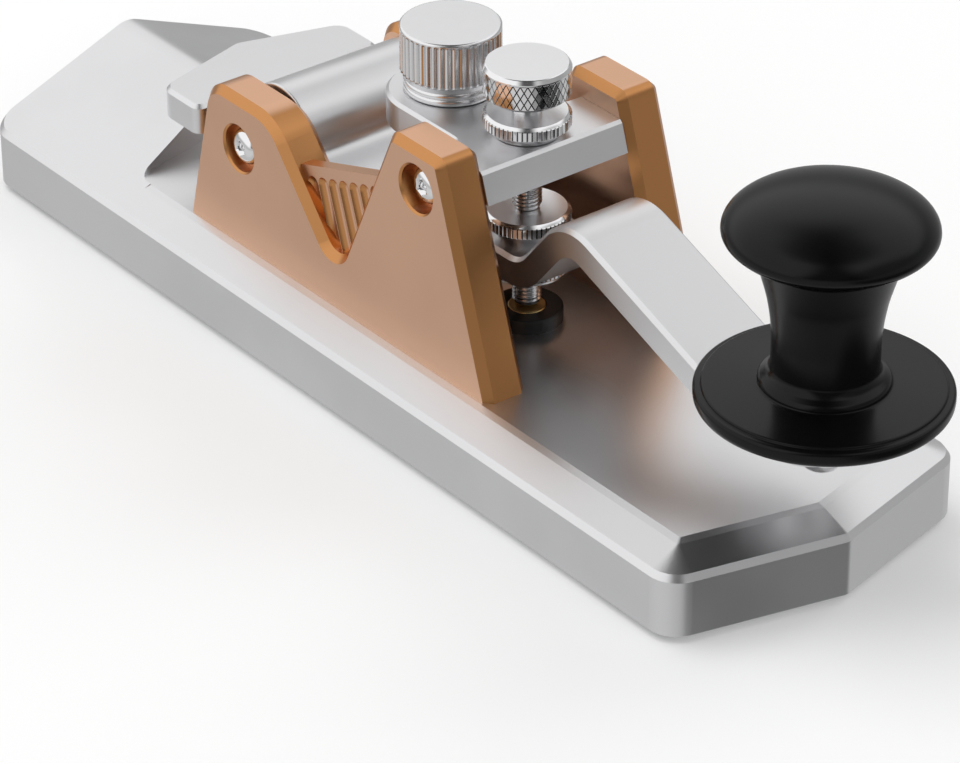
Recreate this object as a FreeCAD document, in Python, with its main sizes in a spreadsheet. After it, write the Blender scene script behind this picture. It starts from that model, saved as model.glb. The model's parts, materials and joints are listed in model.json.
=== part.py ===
import FreeCAD, Part
import math
import os
import Sketcher

# Straight morse key: a milled base carries two side frames joined by a bridge, a sprung
# lever on ball bearings between them, a contact under the lever and a turned knob.
# X is the key's width, -Y its knob end, +Z up. The origin is on the resting plane,
# below the middle of the whole key. Heights in the sheet are above the base's underside
# and distances along Y are from the middle of the base.

DIMENSIONS = [
    # base
    ("base_width", 44.0, "overall width"),
    ("base_length", 143.6, "front point to rear face"),
    ("prow_depth", 5.5, "how far the front point stands ahead of the front corners"),
    ("corner_radius", 4.0, "vertical corners in plan"),
    ("prow_radius", 1.5, "front point in plan"),
    ("eave_height", 7.9, "where the side face and the slope would meet"),
    ("edge_bevel", 0.6, "bevel between the side face and the slope"),
    ("roof_angle", 21.5, "sloping top, degrees"),
    ("slope_run", 4.3, "slope's inner end from the side face"),
    ("brow_run", 0.9, "narrow band between the slope and the flat"),
    ("sharp_radius", 0.3, "smallest corner left by the cutter"),
    ("flat_height", 9.85, "milled flat"),
    ("foot_bevel", 0.2, "bevel round the underside"),
    ("ridge_radius", 4.0, "rounding of the rear roof's ridge"),
    ("wall_apex", 48.4, "rear wall of the flat, at the middle"),
    ("wall_grade", 0.25, "how far that wall runs forward per millimetre of width"),
    ("wall_corner", 2.5, "that wall's outer corners"),
    ("foot_proud", 0.8, "rubber feet below the underside"),
    ("foot_radius", 4.0, "rubber foot"),
    ("foot_recess", 0.6, "pocket depth of a rubber foot"),
    ("foot_x", 15.5, "feet from the middle plane"),
    ("foot_front", -56.0, "front feet"),
    ("foot_rear", 61.0, "rear feet"),
    # wiring space under the base
    ("cover_half_width", 9.6, "underside cover"),
    ("cover_front", -28.0, "underside cover"),
    ("cover_rear", 68.0, "underside cover"),
    ("cover_thickness", 1.5, "underside cover"),
    ("cover_gap", 0.15, "cover in its rebate, each side"),
    ("cover_screw_x", 7.5, "cover screws"),
    ("cover_screw_front", -25.0, "cover screws"),
    ("cover_screw_rear", 60.0, "cover screws"),
    ("cover_screw_radius", 1.0, "cover screw thread"),
    ("cover_head_radius", 1.9, "countersunk head"),
    ("cover_screw_length", 4.2, "cover screw"),
    ("duct_half_width", 3.0, "wire duct"),
    ("duct_top", 5.4, "wire duct and contact bay"),
    ("bay_half_width", 6.0, "contact bay"),
    ("bay_length", 15.0, "contact bay"),
    ("jack_bay_half_width", 5.6, "jack bay"),
    ("jack_bay_front", 50.5, "jack bay"),
    ("jack_bay_top", 12.4, "jack bay"),
    ("jack_wall", 3.0, "rear wall that holds the jack"),
    ("jack_height", 7.6, "jack axis"),
    ("jack_bush_radius", 3.0, "threaded bush"),
    ("jack_bore_radius", 1.8, "bore for a 3.5 mm plug"),
    ("jack_bore_length", 14.0, "bore for the plug"),
    ("jack_half", 4.0, "square jack body, half side"),
    ("jack_length", 13.0, "jack body"),
    ("jack_nut_radius", 4.3, "round slotted nut"),
    ("jack_nut_depth", 1.6, "round slotted nut"),
    ("lug_x", 1.6, "solder lugs and wires from the middle plane"),
    ("lug_width", 1.4, "solder lugs"),
    ("lug_thickness", 0.4, "solder lugs and tags"),
    ("lug_reach", 3.0, "solder lugs ahead of the jack"),
    ("wire_radius", 0.6, "insulated wire"),
    ("ground_head_radius", 1.5, "ground screw's head"),
    ("ground_screw_length", 2.0, "ground screw"),
    # side frames
    ("frame_gap", 21.0, "clear width between the two frames"),
    ("frame_thickness", 6.0, "side frame"),
    ("frame_bevel", 1.0, "bevel round each face"),
    ("frame_front", -27.3, "front of the foot"),
    ("frame_rear", 33.7, "rear of the foot"),
    ("front_lean", 17.7, "front edge from upright, degrees"),
    ("rear_lean", 14.1, "rear edge from upright, degrees"),
    ("front_top", 28.45, "front upright above the flat"),
    ("rear_top", 20.2, "rear upright above the flat"),
    ("notch_y", 2.45, "point of the notch"),
    ("notch_rise", 4.75, "point of the notch above the flat"),
    ("notch_rear_angle", 39.8, "rear side of the notch from upright, degrees"),
    ("notch_front_angle", 25.2, "front side of the notch from upright, degrees"),
    ("notch_radius", 2.5, "bottom of the notch"),
    ("rear_top_radius", 4.0, "rear corner of the rear upright"),
    ("rear_brow_radius", 7.0, "front corner of the rear upright"),
    ("front_top_radius", 1.6, "both corners of the front upright"),
    ("web_recess", 1.6, "web behind the frame's outer face"),
    ("web_thickness", 1.8, "web in the notch"),
    ("web_y", 3.17, "middle of the web's top edge"),
    ("web_height", 27.7, "middle of the web's top edge"),
    ("web_half", 8.9, "half of the web's top edge, ends inside the frame"),
    ("flute_pitch", 2.2, "flutes in the web"),
    ("flute_radius", 1.25, "flutes in the web"),
    ("flute_depth", 0.55, "flutes in the web"),
    ("flute_margin", 2.4, "flutes' round ends below the web's top edge"),
    ("flute_length", 18.0, "flutes"),
    ("recess_radius", 3.3, "screw recess at the outer face"),
    ("recess_floor_radius", 3.05, "screw recess at its floor"),
    ("recess_cone", 0.25, "bevel at the recess's mouth"),
    ("pivot_recess_depth", 1.8, "whole recess at the pivot"),
    ("bridge_recess_depth", 2.4, "whole recess at the bridge"),
    ("screw_radius", 1.25, "screws through the recesses"),
    ("screw_head_radius", 2.0, "their heads"),
    ("screw_head_height", 1.6, "their heads"),
    ("screw_reach", 6.0, "their threads beyond the frame"),
    ("hex_radius", 0.87, "driver socket, across corners"),
    ("hex_depth", 0.9, "driver socket"),
    ("foot_screw_radius", 1.5, "screws that hold the frames down"),
    ("foot_head_radius", 2.75, "their heads"),
    ("foot_head_height", 2.4, "their heads"),
    ("foot_head_recess", 3.0, "their pockets in the underside"),
    ("foot_screw_bite", 6.0, "their threads inside the frame"),
    ("foot_screw_front", -19.0, "their places"),
    ("foot_screw_rear", 25.0, "their places"),
    ("plain_clearance", 0.15, "screw in a plain hole"),
    ("close_clearance", 0.02, "thread in its hole, ring on its seat"),
    ("thread_depth_spare", 0.6, "blind holes beyond their screws"),
    # pivot
    ("pivot_y", 22.1, "pivot axis"),
    ("pivot_height", 23.1, "pivot axis"),
    ("axle_radius", 2.0, "pivot axle"),
    ("bearing_radius", 4.0, "ball bearing"),
    ("bearing_width", 3.0, "ball bearing"),
    ("ring_wall", 0.6, "bearing rings"),
    ("ball_ring_radius", 3.0, "circle of the balls"),
    ("ball_radius_small", 0.55, "bearing balls"),
    ("ball_clearance", 0.04, "ball to each ring"),
    ("spacer_radius", 2.7, "spacer beside the bearing"),
    ("barrel_radius", 6.5, "lever's barrel"),
    ("barrel_bore", 3.2, "barrel between the bearings"),
    ("side_clearance", 0.5, "barrel to each frame"),
    # lever
    ("plate_top", 22.15, "lever's flat"),
    ("plate_thickness", 3.65, "lever"),
    ("arm_width", 12.1, "lever's arm"),
    ("rise_angle", 50.2, "rising part of the arm, degrees"),
    ("fall_angle", 20.5, "falling part of the arm, degrees"),
    ("rise_start", -19.55, "foot of the rise"),
    ("rise_height", 9.75, "sharp top of the rise above the flat"),
    ("pad_drop", 0.95, "knob pad below the lever's flat"),
    ("dip_radius", 4.0, "hollow at the foot of the rise"),
    ("hump_radius", 7.0, "hump"),
    ("landing_radius", 2.0, "hollow before the knob pad"),
    ("neck_half_width", 9.8, "lever between the frames"),
    ("shoulder_y", -2.0, "where the plate starts to narrow"),
    ("shoulder_run", 5.0, "length of the narrowing"),
    ("shoulder_radius", 3.0, "narrowing's corners"),
    ("barrel_fillet", 2.0, "barrel to plate"),
    ("tail_front", 34.3, "wide tail's front edge"),
    ("tail_apex", 46.2, "wide tail's rear point"),
    ("tail_grade", 0.29, "how far the tail's rear edge runs forward per millimetre of width"),
    ("tail_half_width", 14.2, "wide tail"),
    ("tail_top", 23.0, "wide tail"),
    ("tail_thickness", 3.95, "wide tail"),
    ("tail_radius", 2.6, "wide tail's corners"),
    ("lever_bevel", 0.5, "lever's top edges"),
    # contacts
    ("gap_y", -13.85, "gap screw, contact and bridge screws"),
    ("contact_gap", 0.4, "contact gap at rest"),
    ("button_top", 11.75, "lower contact"),
    ("button_proud", 0.1, "lower contact above its insulator"),
    ("button_radius", 2.4, "lower contact"),
    ("button_height", 0.7, "lower contact"),
    ("insulator_radius", 4.4, "insulating collar"),
    ("sleeve_radius", 2.4, "insulating sleeve through the base"),
    ("stud_radius", 1.5, "lower contact stud"),
    ("washer_radius", 4.0, "insulating washer"),
    ("washer_thickness", 0.8, "insulating washer"),
    ("tag_radius", 2.8, "solder tag"),
    ("tag_reach", 6.4, "solder tag's tail from the stud"),
    ("nut_radius", 2.9, "nut on the stud, across corners"),
    ("nut_height", 1.6, "nut on the stud"),
    ("stud_spare", 0.5, "stud below its nut"),
    ("stem_radius", 1.8, "threaded stems"),
    ("stem_pitch", 0.5, "their thread pitch"),
    ("knurl_radius", 5.3, "knurled discs"),
    ("disc_height", 2.9, "knurled discs"),
    ("disc_foot_radius", 4.0, "knurled disc where it seats"),
    ("disc_slope", 1.1, "sloping part below the knurl"),
    ("turned_edge", 0.3, "small bevels on turned parts"),
    ("rest_clearance", 0.05, "gap screw above the lever's disc"),
    ("lock_height", 1.6, "knurled nut under the lever"),
    # bridge
    ("bridge_top", 35.1, "bridge"),
    ("bridge_thickness", 3.9, "bridge"),
    ("bridge_front", -18.7, "bridge's front edge at the top"),
    ("bar_rear", -10.6, "cross bar's rear edge"),
    ("bar_radius", 1.0, "cross bar to tongue"),
    ("tongue_radius", 7.8, "tongue and its round end"),
    ("bridge_bevel", 0.4, "bridge's top edges"),
    ("bridge_screw_height", 32.9, "bridge screws"),
    ("bridge_side_gap", 0.02, "bridge to each frame"),
    ("tension_y", 0.75, "tension screw"),
    # adjusting knobs
    ("knob_seat_gap", 0.05, "turning parts above the bridge"),
    ("gap_knob_rise", 5.0, "gap knob above the bridge"),
    ("gap_knob_height", 4.15, "gap knob"),
    ("gap_knob_crown", 0.55, "sloping part of its top edge"),
    ("knob_bite", 2.4, "stems inside their knobs"),
    ("tension_radius", 6.15, "fluted tension knob"),
    ("tension_height", 8.5, "tension knob"),
    ("collar_height", 2.9, "its plain collar"),
    ("collar_radius", 5.4, "its plain collar at the bridge"),
    ("collar_top_radius", 5.9, "its plain collar at the flutes"),
    ("tension_end", 26.6, "tension stem's lower end"),
    ("magnet_radius", 2.0, "magnets"),
    ("magnet_height", 2.0, "magnets"),
    # finger knob, heights above its seat
    ("knob_y", -66.6, "finger knob's axis"),
    ("arm_reach", 4.2, "lever's end in front of that axis"),
    ("boss_radius", 4.2, "boss below the skirt"),
    ("skirt_radius", 14.6, "skirt"),
    ("skirt_bottom", 2.2, "skirt's underside"),
    ("skirt_thickness", 2.0, "skirt's rim"),
    ("lip_width", 0.9, "lip round the skirt"),
    ("lip_step", 0.3, "lip below the skirt's top"),
    ("ring_radius", 7.5, "ring round the neck"),
    ("ring_height", 5.5, "ring's top"),
    ("neck_radius", 6.1, "neck"),
    ("waist_height", 13.4, "top of the straight neck"),
    ("flare_radius", 8.3, "neck's flare where it meets the finger rest"),
    ("flare_height", 21.1, "the same, height"),
    ("rest_radius", 12.0, "finger rest, an oval"),
    ("rest_middle", 23.85, "finger rest's widest place"),
    ("rest_rise", 4.6, "finger rest above its widest place"),
    ("rest_fall", 3.4, "finger rest below its widest place, if it were closed"),
    ("knob_screw_radius", 2.0, "knob's screw"),
    ("knob_screw_bite", 10.0, "its thread inside the knob"),
    ("knob_head_radius", 3.0, "its domed head"),
    ("knob_head_height", 3.1, "its domed head"),
]

os.makedirs("parts", exist_ok=True)
doc = FreeCAD.newDocument("morse_key")
V = FreeCAD.Vector

# ---------------------------------------------------------------- sizes
sheet = doc.addObject("Spreadsheet::Sheet", "Sizes")
for row, (alias, value, note) in enumerate(DIMENSIONS, start=1):
    sheet.set(f"A{row}", alias)
    sheet.set(f"B{row}", str(value))
    sheet.set(f"C{row}", note)
    sheet.setAlias(f"B{row}", alias)
doc.recompute()


class Size(str):
    """An expression on the sheet's cells. Arithmetic on it gives a longer expression."""

    def __add__(self, other):
        return Size(f"({self} + {other})")

    def __radd__(self, other):
        return Size(f"({other} + {self})")

    def __sub__(self, other):
        return Size(f"({self} - {other})")

    def __rsub__(self, other):
        return Size(f"({other} - {self})")

    def __mul__(self, other):
        return Size(f"({self} * {other})")

    def __rmul__(self, other):
        return Size(f"({other} * {self})")

    def __truediv__(self, other):
        return Size(f"({self} / {other})")

    def __neg__(self):
        return Size(f"(0 - {self})")


class Sizes:
    """Sizes().name reads as the sheet's cell of that name."""

    def __getattr__(self, alias):
        return Size(f"Sizes.{alias}")


s = Sizes()


def maths(name, *arguments):
    return Size(f"{name}({'; '.join(str(a) for a in arguments)})")


def number(expression):
    value = sheet.evalExpression(str(expression))
    return float(getattr(value, "Value", value))


# sizes that follow from others
half_width = s.base_width / 2
rear_y = s.base_length / 2
front_y = -rear_y
roof_tan = maths("tan", s.roof_angle)
bevel_run = s.edge_bevel * maths("cos", s.roof_angle)
middle_y = (s.knob_y - s.skirt_radius + rear_y) / 2
inner_x = s.frame_gap / 2
outer_x = inner_x + s.frame_thickness
frame_mid_x = inner_x + s.frame_thickness / 2
barrel_half = inner_x - s.side_clearance
plate_bottom = s.plate_top - s.plate_thickness
tail_bottom = s.tail_top - s.tail_thickness
pad_top = s.plate_top - s.pad_drop
pad_bottom = pad_top - s.plate_thickness
bridge_bottom = s.bridge_top - s.bridge_thickness
contact_tip = s.button_top + s.contact_gap
insulator_top = s.button_top - s.button_proud
disc_top = s.plate_top + s.disc_height
jack_front = rear_y - s.jack_wall - s.jack_length
jack_face = rear_y - s.jack_wall
washer_bottom = s.duct_top - s.washer_thickness
tag_bottom = washer_bottom - s.lug_thickness
nut_bottom = tag_bottom - s.nut_height


# ---------------------------------------------------------------- ways of making
def put(thing, x=0, y=0, z=0, axis=None, angle=0):
    """Place a piece, turned about an axis by an angle in degrees."""
    if axis:
        thing.Placement = FreeCAD.Placement(V(), FreeCAD.Rotation(V(*axis), number(angle)))
        if isinstance(angle, Size):
            thing.setExpression("Placement.Rotation.Angle", angle)
    for name, value in zip("xyz", (x, y, z)):
        thing.setExpression(f"Placement.Base.{name}", str(value))
    return thing


nodes = []


def node(thing, label, x=0, y=0, z=0, axis=None, angle=0):
    """Place a finished part in the shared frame and list it for export."""
    put(thing, x, Size(y) - middle_y, Size(z) + s.foot_proud, axis, angle)
    thing.Label = label
    nodes.append(thing)
    return thing


def part(kind, label, **values):
    """A Part primitive or operation with its sizes bound to the sheet."""
    thing = doc.addObject(f"Part::{kind}", label)
    for name, value in values.items():
        if isinstance(value, Size):
            thing.setExpression(name, value)
        else:
            setattr(thing, name, value)
    return thing


def block(label, x, y, z):
    """A box from pairs of limits."""
    lengths = [Size(high) - low for low, high in (x, y, z)]
    box = part("Box", label, Length=lengths[0], Width=lengths[1], Height=lengths[2])
    return put(box, x[0], y[0], z[0])


UP, EAST, NORTH = (None, 0), ((0, 1, 0), 90), ((1, 0, 0), -90)


def rod(label, radius, length, x=0, y=0, z=0, along=UP):
    rod_piece = part("Cylinder", label, Radius=radius, Height=length)
    return put(rod_piece, x, y, z, *along)


def fuse(label, pieces):
    return part("MultiFuse", label, Shapes=pieces, Refine=True)


def group(label, pieces):
    return part("Compound", label, Links=pieces)


def cut(label, base, tools):
    tool = tools[0] if len(tools) == 1 else part("MultiFuse", f"{label}_tools", Shapes=tools)
    return part("Cut", label, Base=base, Tool=tool)


def mirrored(label, thing):
    return part("Mirroring", label, Source=thing, Base=V(), Normal=V(1, 0, 0))


def new_body(label):
    return doc.addObject("PartDesign::Body", label)


def profile(body, label, role, corners, offset=None):
    """A closed outline through corners (across, up, rounding), all held by the sheet."""
    sketch = body.newObject("Sketcher::SketchObject", label)
    plane = next(f for f in body.Origin.OriginFeatures if f.Role == role)
    sketch.AttachmentSupport = [(plane, "")]
    sketch.MapMode = "FlatFace"
    if offset is not None:
        sketch.setExpression("AttachmentOffset.Base.z", str(offset))
    count = len(corners)
    at = [V(number(c[0]), number(c[1]), 0) for c in corners]
    rounding = [number(c[2]) if len(c) > 2 else 0 for c in corners]
    ends, centres = [], []
    for i in range(count):
        back = (at[i - 1] - at[i]).normalize()
        ahead = (at[(i + 1) % count] - at[i]).normalize()
        half = back.getAngle(ahead) / 2
        reach = rounding[i] / math.tan(half)
        ends.append((at[i] + back * reach, at[i] + ahead * reach))
        centres.append(at[i] + (back + ahead).normalize() * (rounding[i] / math.sin(half)))
    sides = []
    for i in range(count):
        side = Part.LineSegment(ends[i][1], ends[(i + 1) % count][0])
        sides.append(sketch.addGeometry(side, False))

    def rule(*arguments, to=None):
        index = sketch.addConstraint(Sketcher.Constraint(*arguments))
        if to is not None:
            sketch.setExpression(f"Constraints[{index}]", str(to))

    for i, corner in enumerate(corners):
        before, after = sides[i - 1], sides[i]
        held = (before, 2)
        if rounding[i]:
            left = (at[i] - at[i - 1]).cross(at[(i + 1) % count] - at[i]).z > 0
            first, last = ends[i] if left else ends[i][::-1]
            angles = [math.atan2((p - centres[i]).y, (p - centres[i]).x) for p in (first, last)]
            circle = Part.Circle(centres[i], V(0, 0, 1), rounding[i])
            arc = sketch.addGeometry(Part.ArcOfCircle(circle, *angles), False)
            point = sketch.addGeometry(Part.Point(at[i]), True)
            held = (point, 1)
            rule("PointOnObject", point, 1, before)
            rule("PointOnObject", point, 1, after)
            rule("Tangent", before, 2, arc, 1 if left else 2)
            rule("Tangent", after, 1, arc, 2 if left else 1)
            rule("Radius", arc, rounding[i], to=corner[2])
        else:
            rule("Coincident", before, 2, after, 1)
        rule("DistanceX", -1, 1, *held, at[i].x, to=corner[0])
        rule("DistanceY", -1, 1, *held, at[i].y, to=corner[1])
    return sketch


def feature(body, kind, label, **values):
    step = body.newObject(f"PartDesign::{kind}", label)
    for name, value in values.items():
        if isinstance(value, Size):
            step.setExpression(name, value)
        else:
            setattr(step, name, value)
    body.Tip = step
    return step


def turned(label, corners):
    """A body turned about +Z from corners (radius, height, rounding)."""
    body = new_body(label)
    outline = profile(body, f"{label}_half", "XZ_Plane", corners)
    feature(body, "Revolution", f"{label}_turn", Profile=outline,
            ReferenceAxis=(outline, ["V_Axis"]), Angle=360)
    return body


def bevelled(body, label, kind, size, test):
    """A chamfer or fillet on the body's edges whose middle passes the test."""
    doc.recompute()
    before = body.Tip
    names = []
    for i, edge in enumerate(before.Shape.Edges, start=1):
        middle = edge.valueAt((edge.FirstParameter + edge.LastParameter) / 2)
        if test(middle):
            names.append(f"Edge{i}")
    measure = "Size" if kind == "Chamfer" else "Radius"
    return feature(body, kind, label, Base=(before, names), **{measure: size})


def near(a, b):
    return abs(a - b) < 0.01


# ---------------------------------------------------------------- base
def base_outline(inset):
    """The base in plan, drawn in by an inset measured square to each side."""
    slant = maths("atan", s.prow_depth / half_width)
    corner = inset * (1 - maths("sin", slant)) / maths("cos", slant)
    apex = inset / maths("cos", slant)
    radius = maths("max", s.corner_radius - inset, s.sharp_radius)
    point = maths("max", s.prow_radius - inset, s.sharp_radius)
    side = half_width - inset
    shoulder = front_y + s.prow_depth + corner
    return [
        (side, rear_y - inset, radius),
        (-side, rear_y - inset, radius),
        (-side, shoulder, radius),
        (0, front_y + apex, point),
        (side, shoulder, radius),
    ]


slab = new_body("base_slab")
wall_top = s.eave_height - s.edge_bevel
foot_line = profile(slab, "base_foot", "XY_Plane", base_outline(Size(0)))
feature(slab, "Pad", "base_side", Profile=foot_line, Length=wall_top)
bevelled(slab, "base_foot_bevel", "Chamfer", s.foot_bevel, lambda p: near(p.z, 0))
levels = [
    (Size(0), wall_top),
    (bevel_run, s.eave_height + s.edge_bevel * maths("sin", s.roof_angle)),
    (s.slope_run, s.eave_height + s.slope_run * roof_tan),
    (s.slope_run + s.brow_run, s.flat_height),
]
outlines = [
    profile(slab, f"base_level_{i}", "XY_Plane", base_outline(inset), height)
    for i, (inset, height) in enumerate(levels)
]
feature(slab, "AdditiveLoft", "base_slopes", Profile=outlines[0], Sections=outlines[1:],
        Ruled=True)

roof = new_body("base_roof")
flat_half = half_width - s.slope_run - s.brow_run
wall_side = s.wall_apex - s.wall_grade * flat_half
roof_front = wall_side - s.wall_corner
ridge = s.eave_height + half_width * roof_tan
roof_line = profile(roof, "roof_plan", "XY_Plane", [
    (half_width, roof_front),
    (half_width, rear_y, s.corner_radius),
    (-half_width, rear_y, s.corner_radius),
    (-half_width, roof_front),
], 1)
feature(roof, "Pad", "roof_block", Profile=roof_line, Length=ridge)
beyond = half_width + 5
eave = s.eave_height - 5 * roof_tan
sky = profile(roof, "roof_sky", "XZ_Plane", [
    (-beyond, eave),
    (0, ridge, s.ridge_radius),
    (beyond, eave),
    (beyond, ridge + 5),
    (-beyond, ridge + 5),
])
feature(roof, "Pocket", "roof_slopes", Profile=sky, Length=s.base_length)
roof_edge = number(s.eave_height) - 0.3
rear_zone = number(rear_y - s.corner_radius)
bevelled(roof, "roof_bevel", "Chamfer", s.edge_bevel, lambda p: p.z > roof_edge and (
    p.y > rear_zone or near(abs(p.x), number(half_width))))
pool = profile(roof, "roof_pool", "XY_Plane", [
    (-flat_half, roof_front - 5),
    (flat_half, roof_front - 5),
    (flat_half, wall_side, s.wall_corner),
    (0, s.wall_apex),
    (-flat_half, wall_side, s.wall_corner),
], s.flat_height)
feature(roof, "Pocket", "roof_wall", Profile=pool, Length=ridge, Reversed=True)

bay_front = s.gap_y - s.bay_length / 2
bay_rear = s.gap_y + s.bay_length / 2
rebate = s.cover_half_width + s.cover_gap
hollow = [
    block("rebate", (-rebate, rebate), (s.cover_front - s.cover_gap, s.cover_rear + s.cover_gap),
          (-1, s.cover_thickness)),
    block("duct", (-s.duct_half_width, s.duct_half_width), (s.gap_y, s.jack_bay_front + 1),
          (-1, s.duct_top)),
    block("contact_bay", (-s.bay_half_width, s.bay_half_width), (bay_front, bay_rear),
          (-1, s.duct_top)),
    block("jack_bay", (-s.jack_bay_half_width, s.jack_bay_half_width),
          (s.jack_bay_front, jack_face), (-1, s.jack_bay_top)),
    rod("jack_hole", s.jack_bush_radius + s.plain_clearance, s.jack_wall + 2,
        0, jack_face - 1, s.jack_height, NORTH),
    rod("jack_nut_seat", s.jack_nut_radius + s.plain_clearance, s.jack_nut_depth + 2,
        0, rear_y - s.jack_nut_depth, s.jack_height, NORTH),
    rod("stud_hole", s.sleeve_radius + s.close_clearance, s.flat_height,
        0, s.gap_y, 1),
]
cover_screws_at = [(side * s.cover_screw_x, y) for y in (s.cover_screw_front, s.cover_screw_rear)
                   for side in (-1, 1)]
frame_screws_at = [(side * frame_mid_x, y) for y in (s.foot_screw_front, s.foot_screw_rear)
                   for side in (-1, 1)]
feet_at = [(side * s.foot_x, y) for y in (s.foot_front, s.foot_rear) for side in (-1, 1)]
for i, (x, y) in enumerate(cover_screws_at):
    hollow.append(rod(f"cover_thread_{i}", s.cover_screw_radius + s.close_clearance,
                      s.cover_screw_length + s.thread_depth_spare, x, y, 0))
for i, (x, y) in enumerate(frame_screws_at):
    hollow.append(rod(f"frame_hole_{i}", s.foot_screw_radius + s.plain_clearance,
                      s.flat_height + 2, x, y, -1))
    hollow.append(rod(f"frame_head_{i}", s.foot_head_radius + s.plain_clearance,
                      s.foot_head_recess + 1, x, y, -1))
for i, (x, y) in enumerate(feet_at):
    hollow.append(rod(f"foot_pocket_{i}", s.foot_radius + s.plain_clearance,
                      s.foot_recess + 1, x, y, -1))
ground_x = Size(-3.5)
ground_y = s.jack_bay_front + 2.2
hollow.append(rod("ground_thread", s.cover_screw_radius + s.close_clearance,
                  s.ground_screw_length, ground_x, ground_y, s.jack_bay_top - 0.1))
node(cut("base_cut", fuse("base_blank", [slab, roof]), hollow), "base")

cover_blank = block("cover_blank", (-s.cover_half_width, s.cover_half_width),
                    (s.cover_front, s.cover_rear), (0, s.cover_thickness))
sink = s.cover_head_radius - s.cover_screw_radius
cover_holes = []
for i, (x, y) in enumerate(cover_screws_at):
    cover_holes.append(rod(f"cover_hole_{i}", s.cover_screw_radius + s.plain_clearance,
                           s.cover_thickness + 2, x, y, -1))
    cover_holes.append(put(part("Cone", f"cover_sink_{i}", Radius1=s.cover_head_radius + 0.05,
                                Radius2=s.cover_screw_radius + 0.05, Height=sink), x, y, 0))
node(cut("cover_cut", cover_blank, cover_holes), "base_cover")

screws = []
for i, (x, y) in enumerate(cover_screws_at):
    screw = turned(f"cover_screw_{i}", [
        (0, 0.6),
        (s.hex_radius * 0.8, 0.6),
        (s.hex_radius * 0.8, 0),
        (s.cover_head_radius, 0),
        (s.cover_screw_radius, sink),
        (s.cover_screw_radius, s.cover_screw_length),
        (0, s.cover_screw_length),
    ])
    screws.append(put(screw, x, y, 0))
node(group("cover_screw_set", screws), "cover_screws")

feet = []
for i, (x, y) in enumerate(feet_at):
    foot = turned(f"foot_{i}", [
        (0, -s.foot_proud),
        (s.foot_radius, -s.foot_proud, s.turned_edge),
        (s.foot_radius, s.foot_recess),
        (0, s.foot_recess),
    ])
    feet.append(put(foot, x, y, 0))
node(group("foot_set", feet), "rubber_feet")

# ---------------------------------------------------------------- side frames
top_front = s.flat_height + s.front_top
top_rear = s.flat_height + s.rear_top
notch_z = s.flat_height + s.notch_rise
frame = new_body("frame_plate")
frame_line = profile(frame, "frame_line", "YZ_Plane", [
    (s.frame_front, s.flat_height),
    (s.frame_rear, s.flat_height),
    (s.frame_rear - s.rear_top * maths("tan", s.rear_lean), top_rear, s.rear_top_radius),
    (s.notch_y + (top_rear - notch_z) * maths("tan", s.notch_rear_angle), top_rear,
     s.rear_brow_radius),
    (s.notch_y, notch_z, s.notch_radius),
    (s.notch_y - (top_front - notch_z) * maths("tan", s.notch_front_angle), top_front,
     s.front_top_radius),
    (s.frame_front + s.front_top * maths("tan", s.front_lean), top_front, s.front_top_radius),
], -outer_x)
feature(frame, "Pad", "frame_pad", Profile=frame_line, Length=s.frame_thickness)
frame_foot = number(s.flat_height)
bevelled(frame, "frame_bevels", "Chamfer", s.frame_bevel, lambda p: p.z > frame_foot + 0.1 and (
    near(p.x, -number(outer_x)) or near(p.x, -number(inner_x))))

lean_sin = maths("sin", s.front_lean)
lean_cos = maths("cos", s.front_lean)
web_x = -(outer_x - s.web_recess)
web = new_body("web_plate")
web_line = profile(web, "web_line", "YZ_Plane", [
    (s.web_y - s.web_half * lean_cos, s.web_height + s.web_half * lean_sin),
    (s.notch_y, notch_z - 0.6),
    (s.web_y + s.web_half * lean_cos, s.web_height - s.web_half * lean_sin),
], web_x)
feature(web, "Pad", "web_pad", Profile=web_line, Length=s.web_thickness)
flutes = []
flute_x = web_x - (s.flute_radius - s.flute_depth)
for i in range(-3, 4):
    along = i * s.flute_pitch
    start_y = s.web_y + along * lean_cos - s.flute_margin * lean_sin
    start_z = s.web_height - along * lean_sin - s.flute_margin * lean_cos
    flutes.append(put(part("Cylinder", f"flute_{i + 3}", Radius=s.flute_radius,
                           Height=s.flute_length),
                      flute_x, start_y - s.flute_length * lean_sin,
                      start_z - s.flute_length * lean_cos, (-1, 0, 0), s.front_lean))
    flutes.append(put(part("Sphere", f"flute_end_{i + 3}", Radius=s.flute_radius),
                      flute_x, start_y, start_z))
fluted_web = cut("fluted_web", web, flutes)

frame_blank = fuse("frame_blank", [frame, fluted_web])
frame_tools = []
side_screws_at = (
    ("pivot", s.pivot_y, s.pivot_height, s.pivot_recess_depth),
    ("bridge", s.gap_y, s.bridge_screw_height, s.bridge_recess_depth),
)
for name, y, z, depth in side_screws_at:
    frame_tools.append(put(part("Cone", f"{name}_recess_cone", Radius1=s.recess_radius,
                                Radius2=s.recess_floor_radius, Height=s.recess_cone),
                           -outer_x, y, z, *EAST))
    frame_tools.append(rod(f"{name}_recess", s.recess_floor_radius, depth,
                           -outer_x, y, z, EAST))
    frame_tools.append(rod(f"{name}_screw_hole", s.screw_radius + s.close_clearance,
                           s.frame_thickness + 2, -outer_x - 1, y, z, EAST))
for i, y in enumerate((s.foot_screw_front, s.foot_screw_rear)):
    frame_tools.append(rod(f"foot_thread_{i}", s.foot_screw_radius + s.close_clearance,
                           s.foot_screw_bite + s.thread_depth_spare + 1,
                           -frame_mid_x, y, s.flat_height - 1))
frame_cut = cut("frame_cut", frame_blank, frame_tools)
node(mirrored("frame_mirror", frame_cut), "right_frame")
node(group("frame_left", [frame_cut]), "left_frame")


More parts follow.
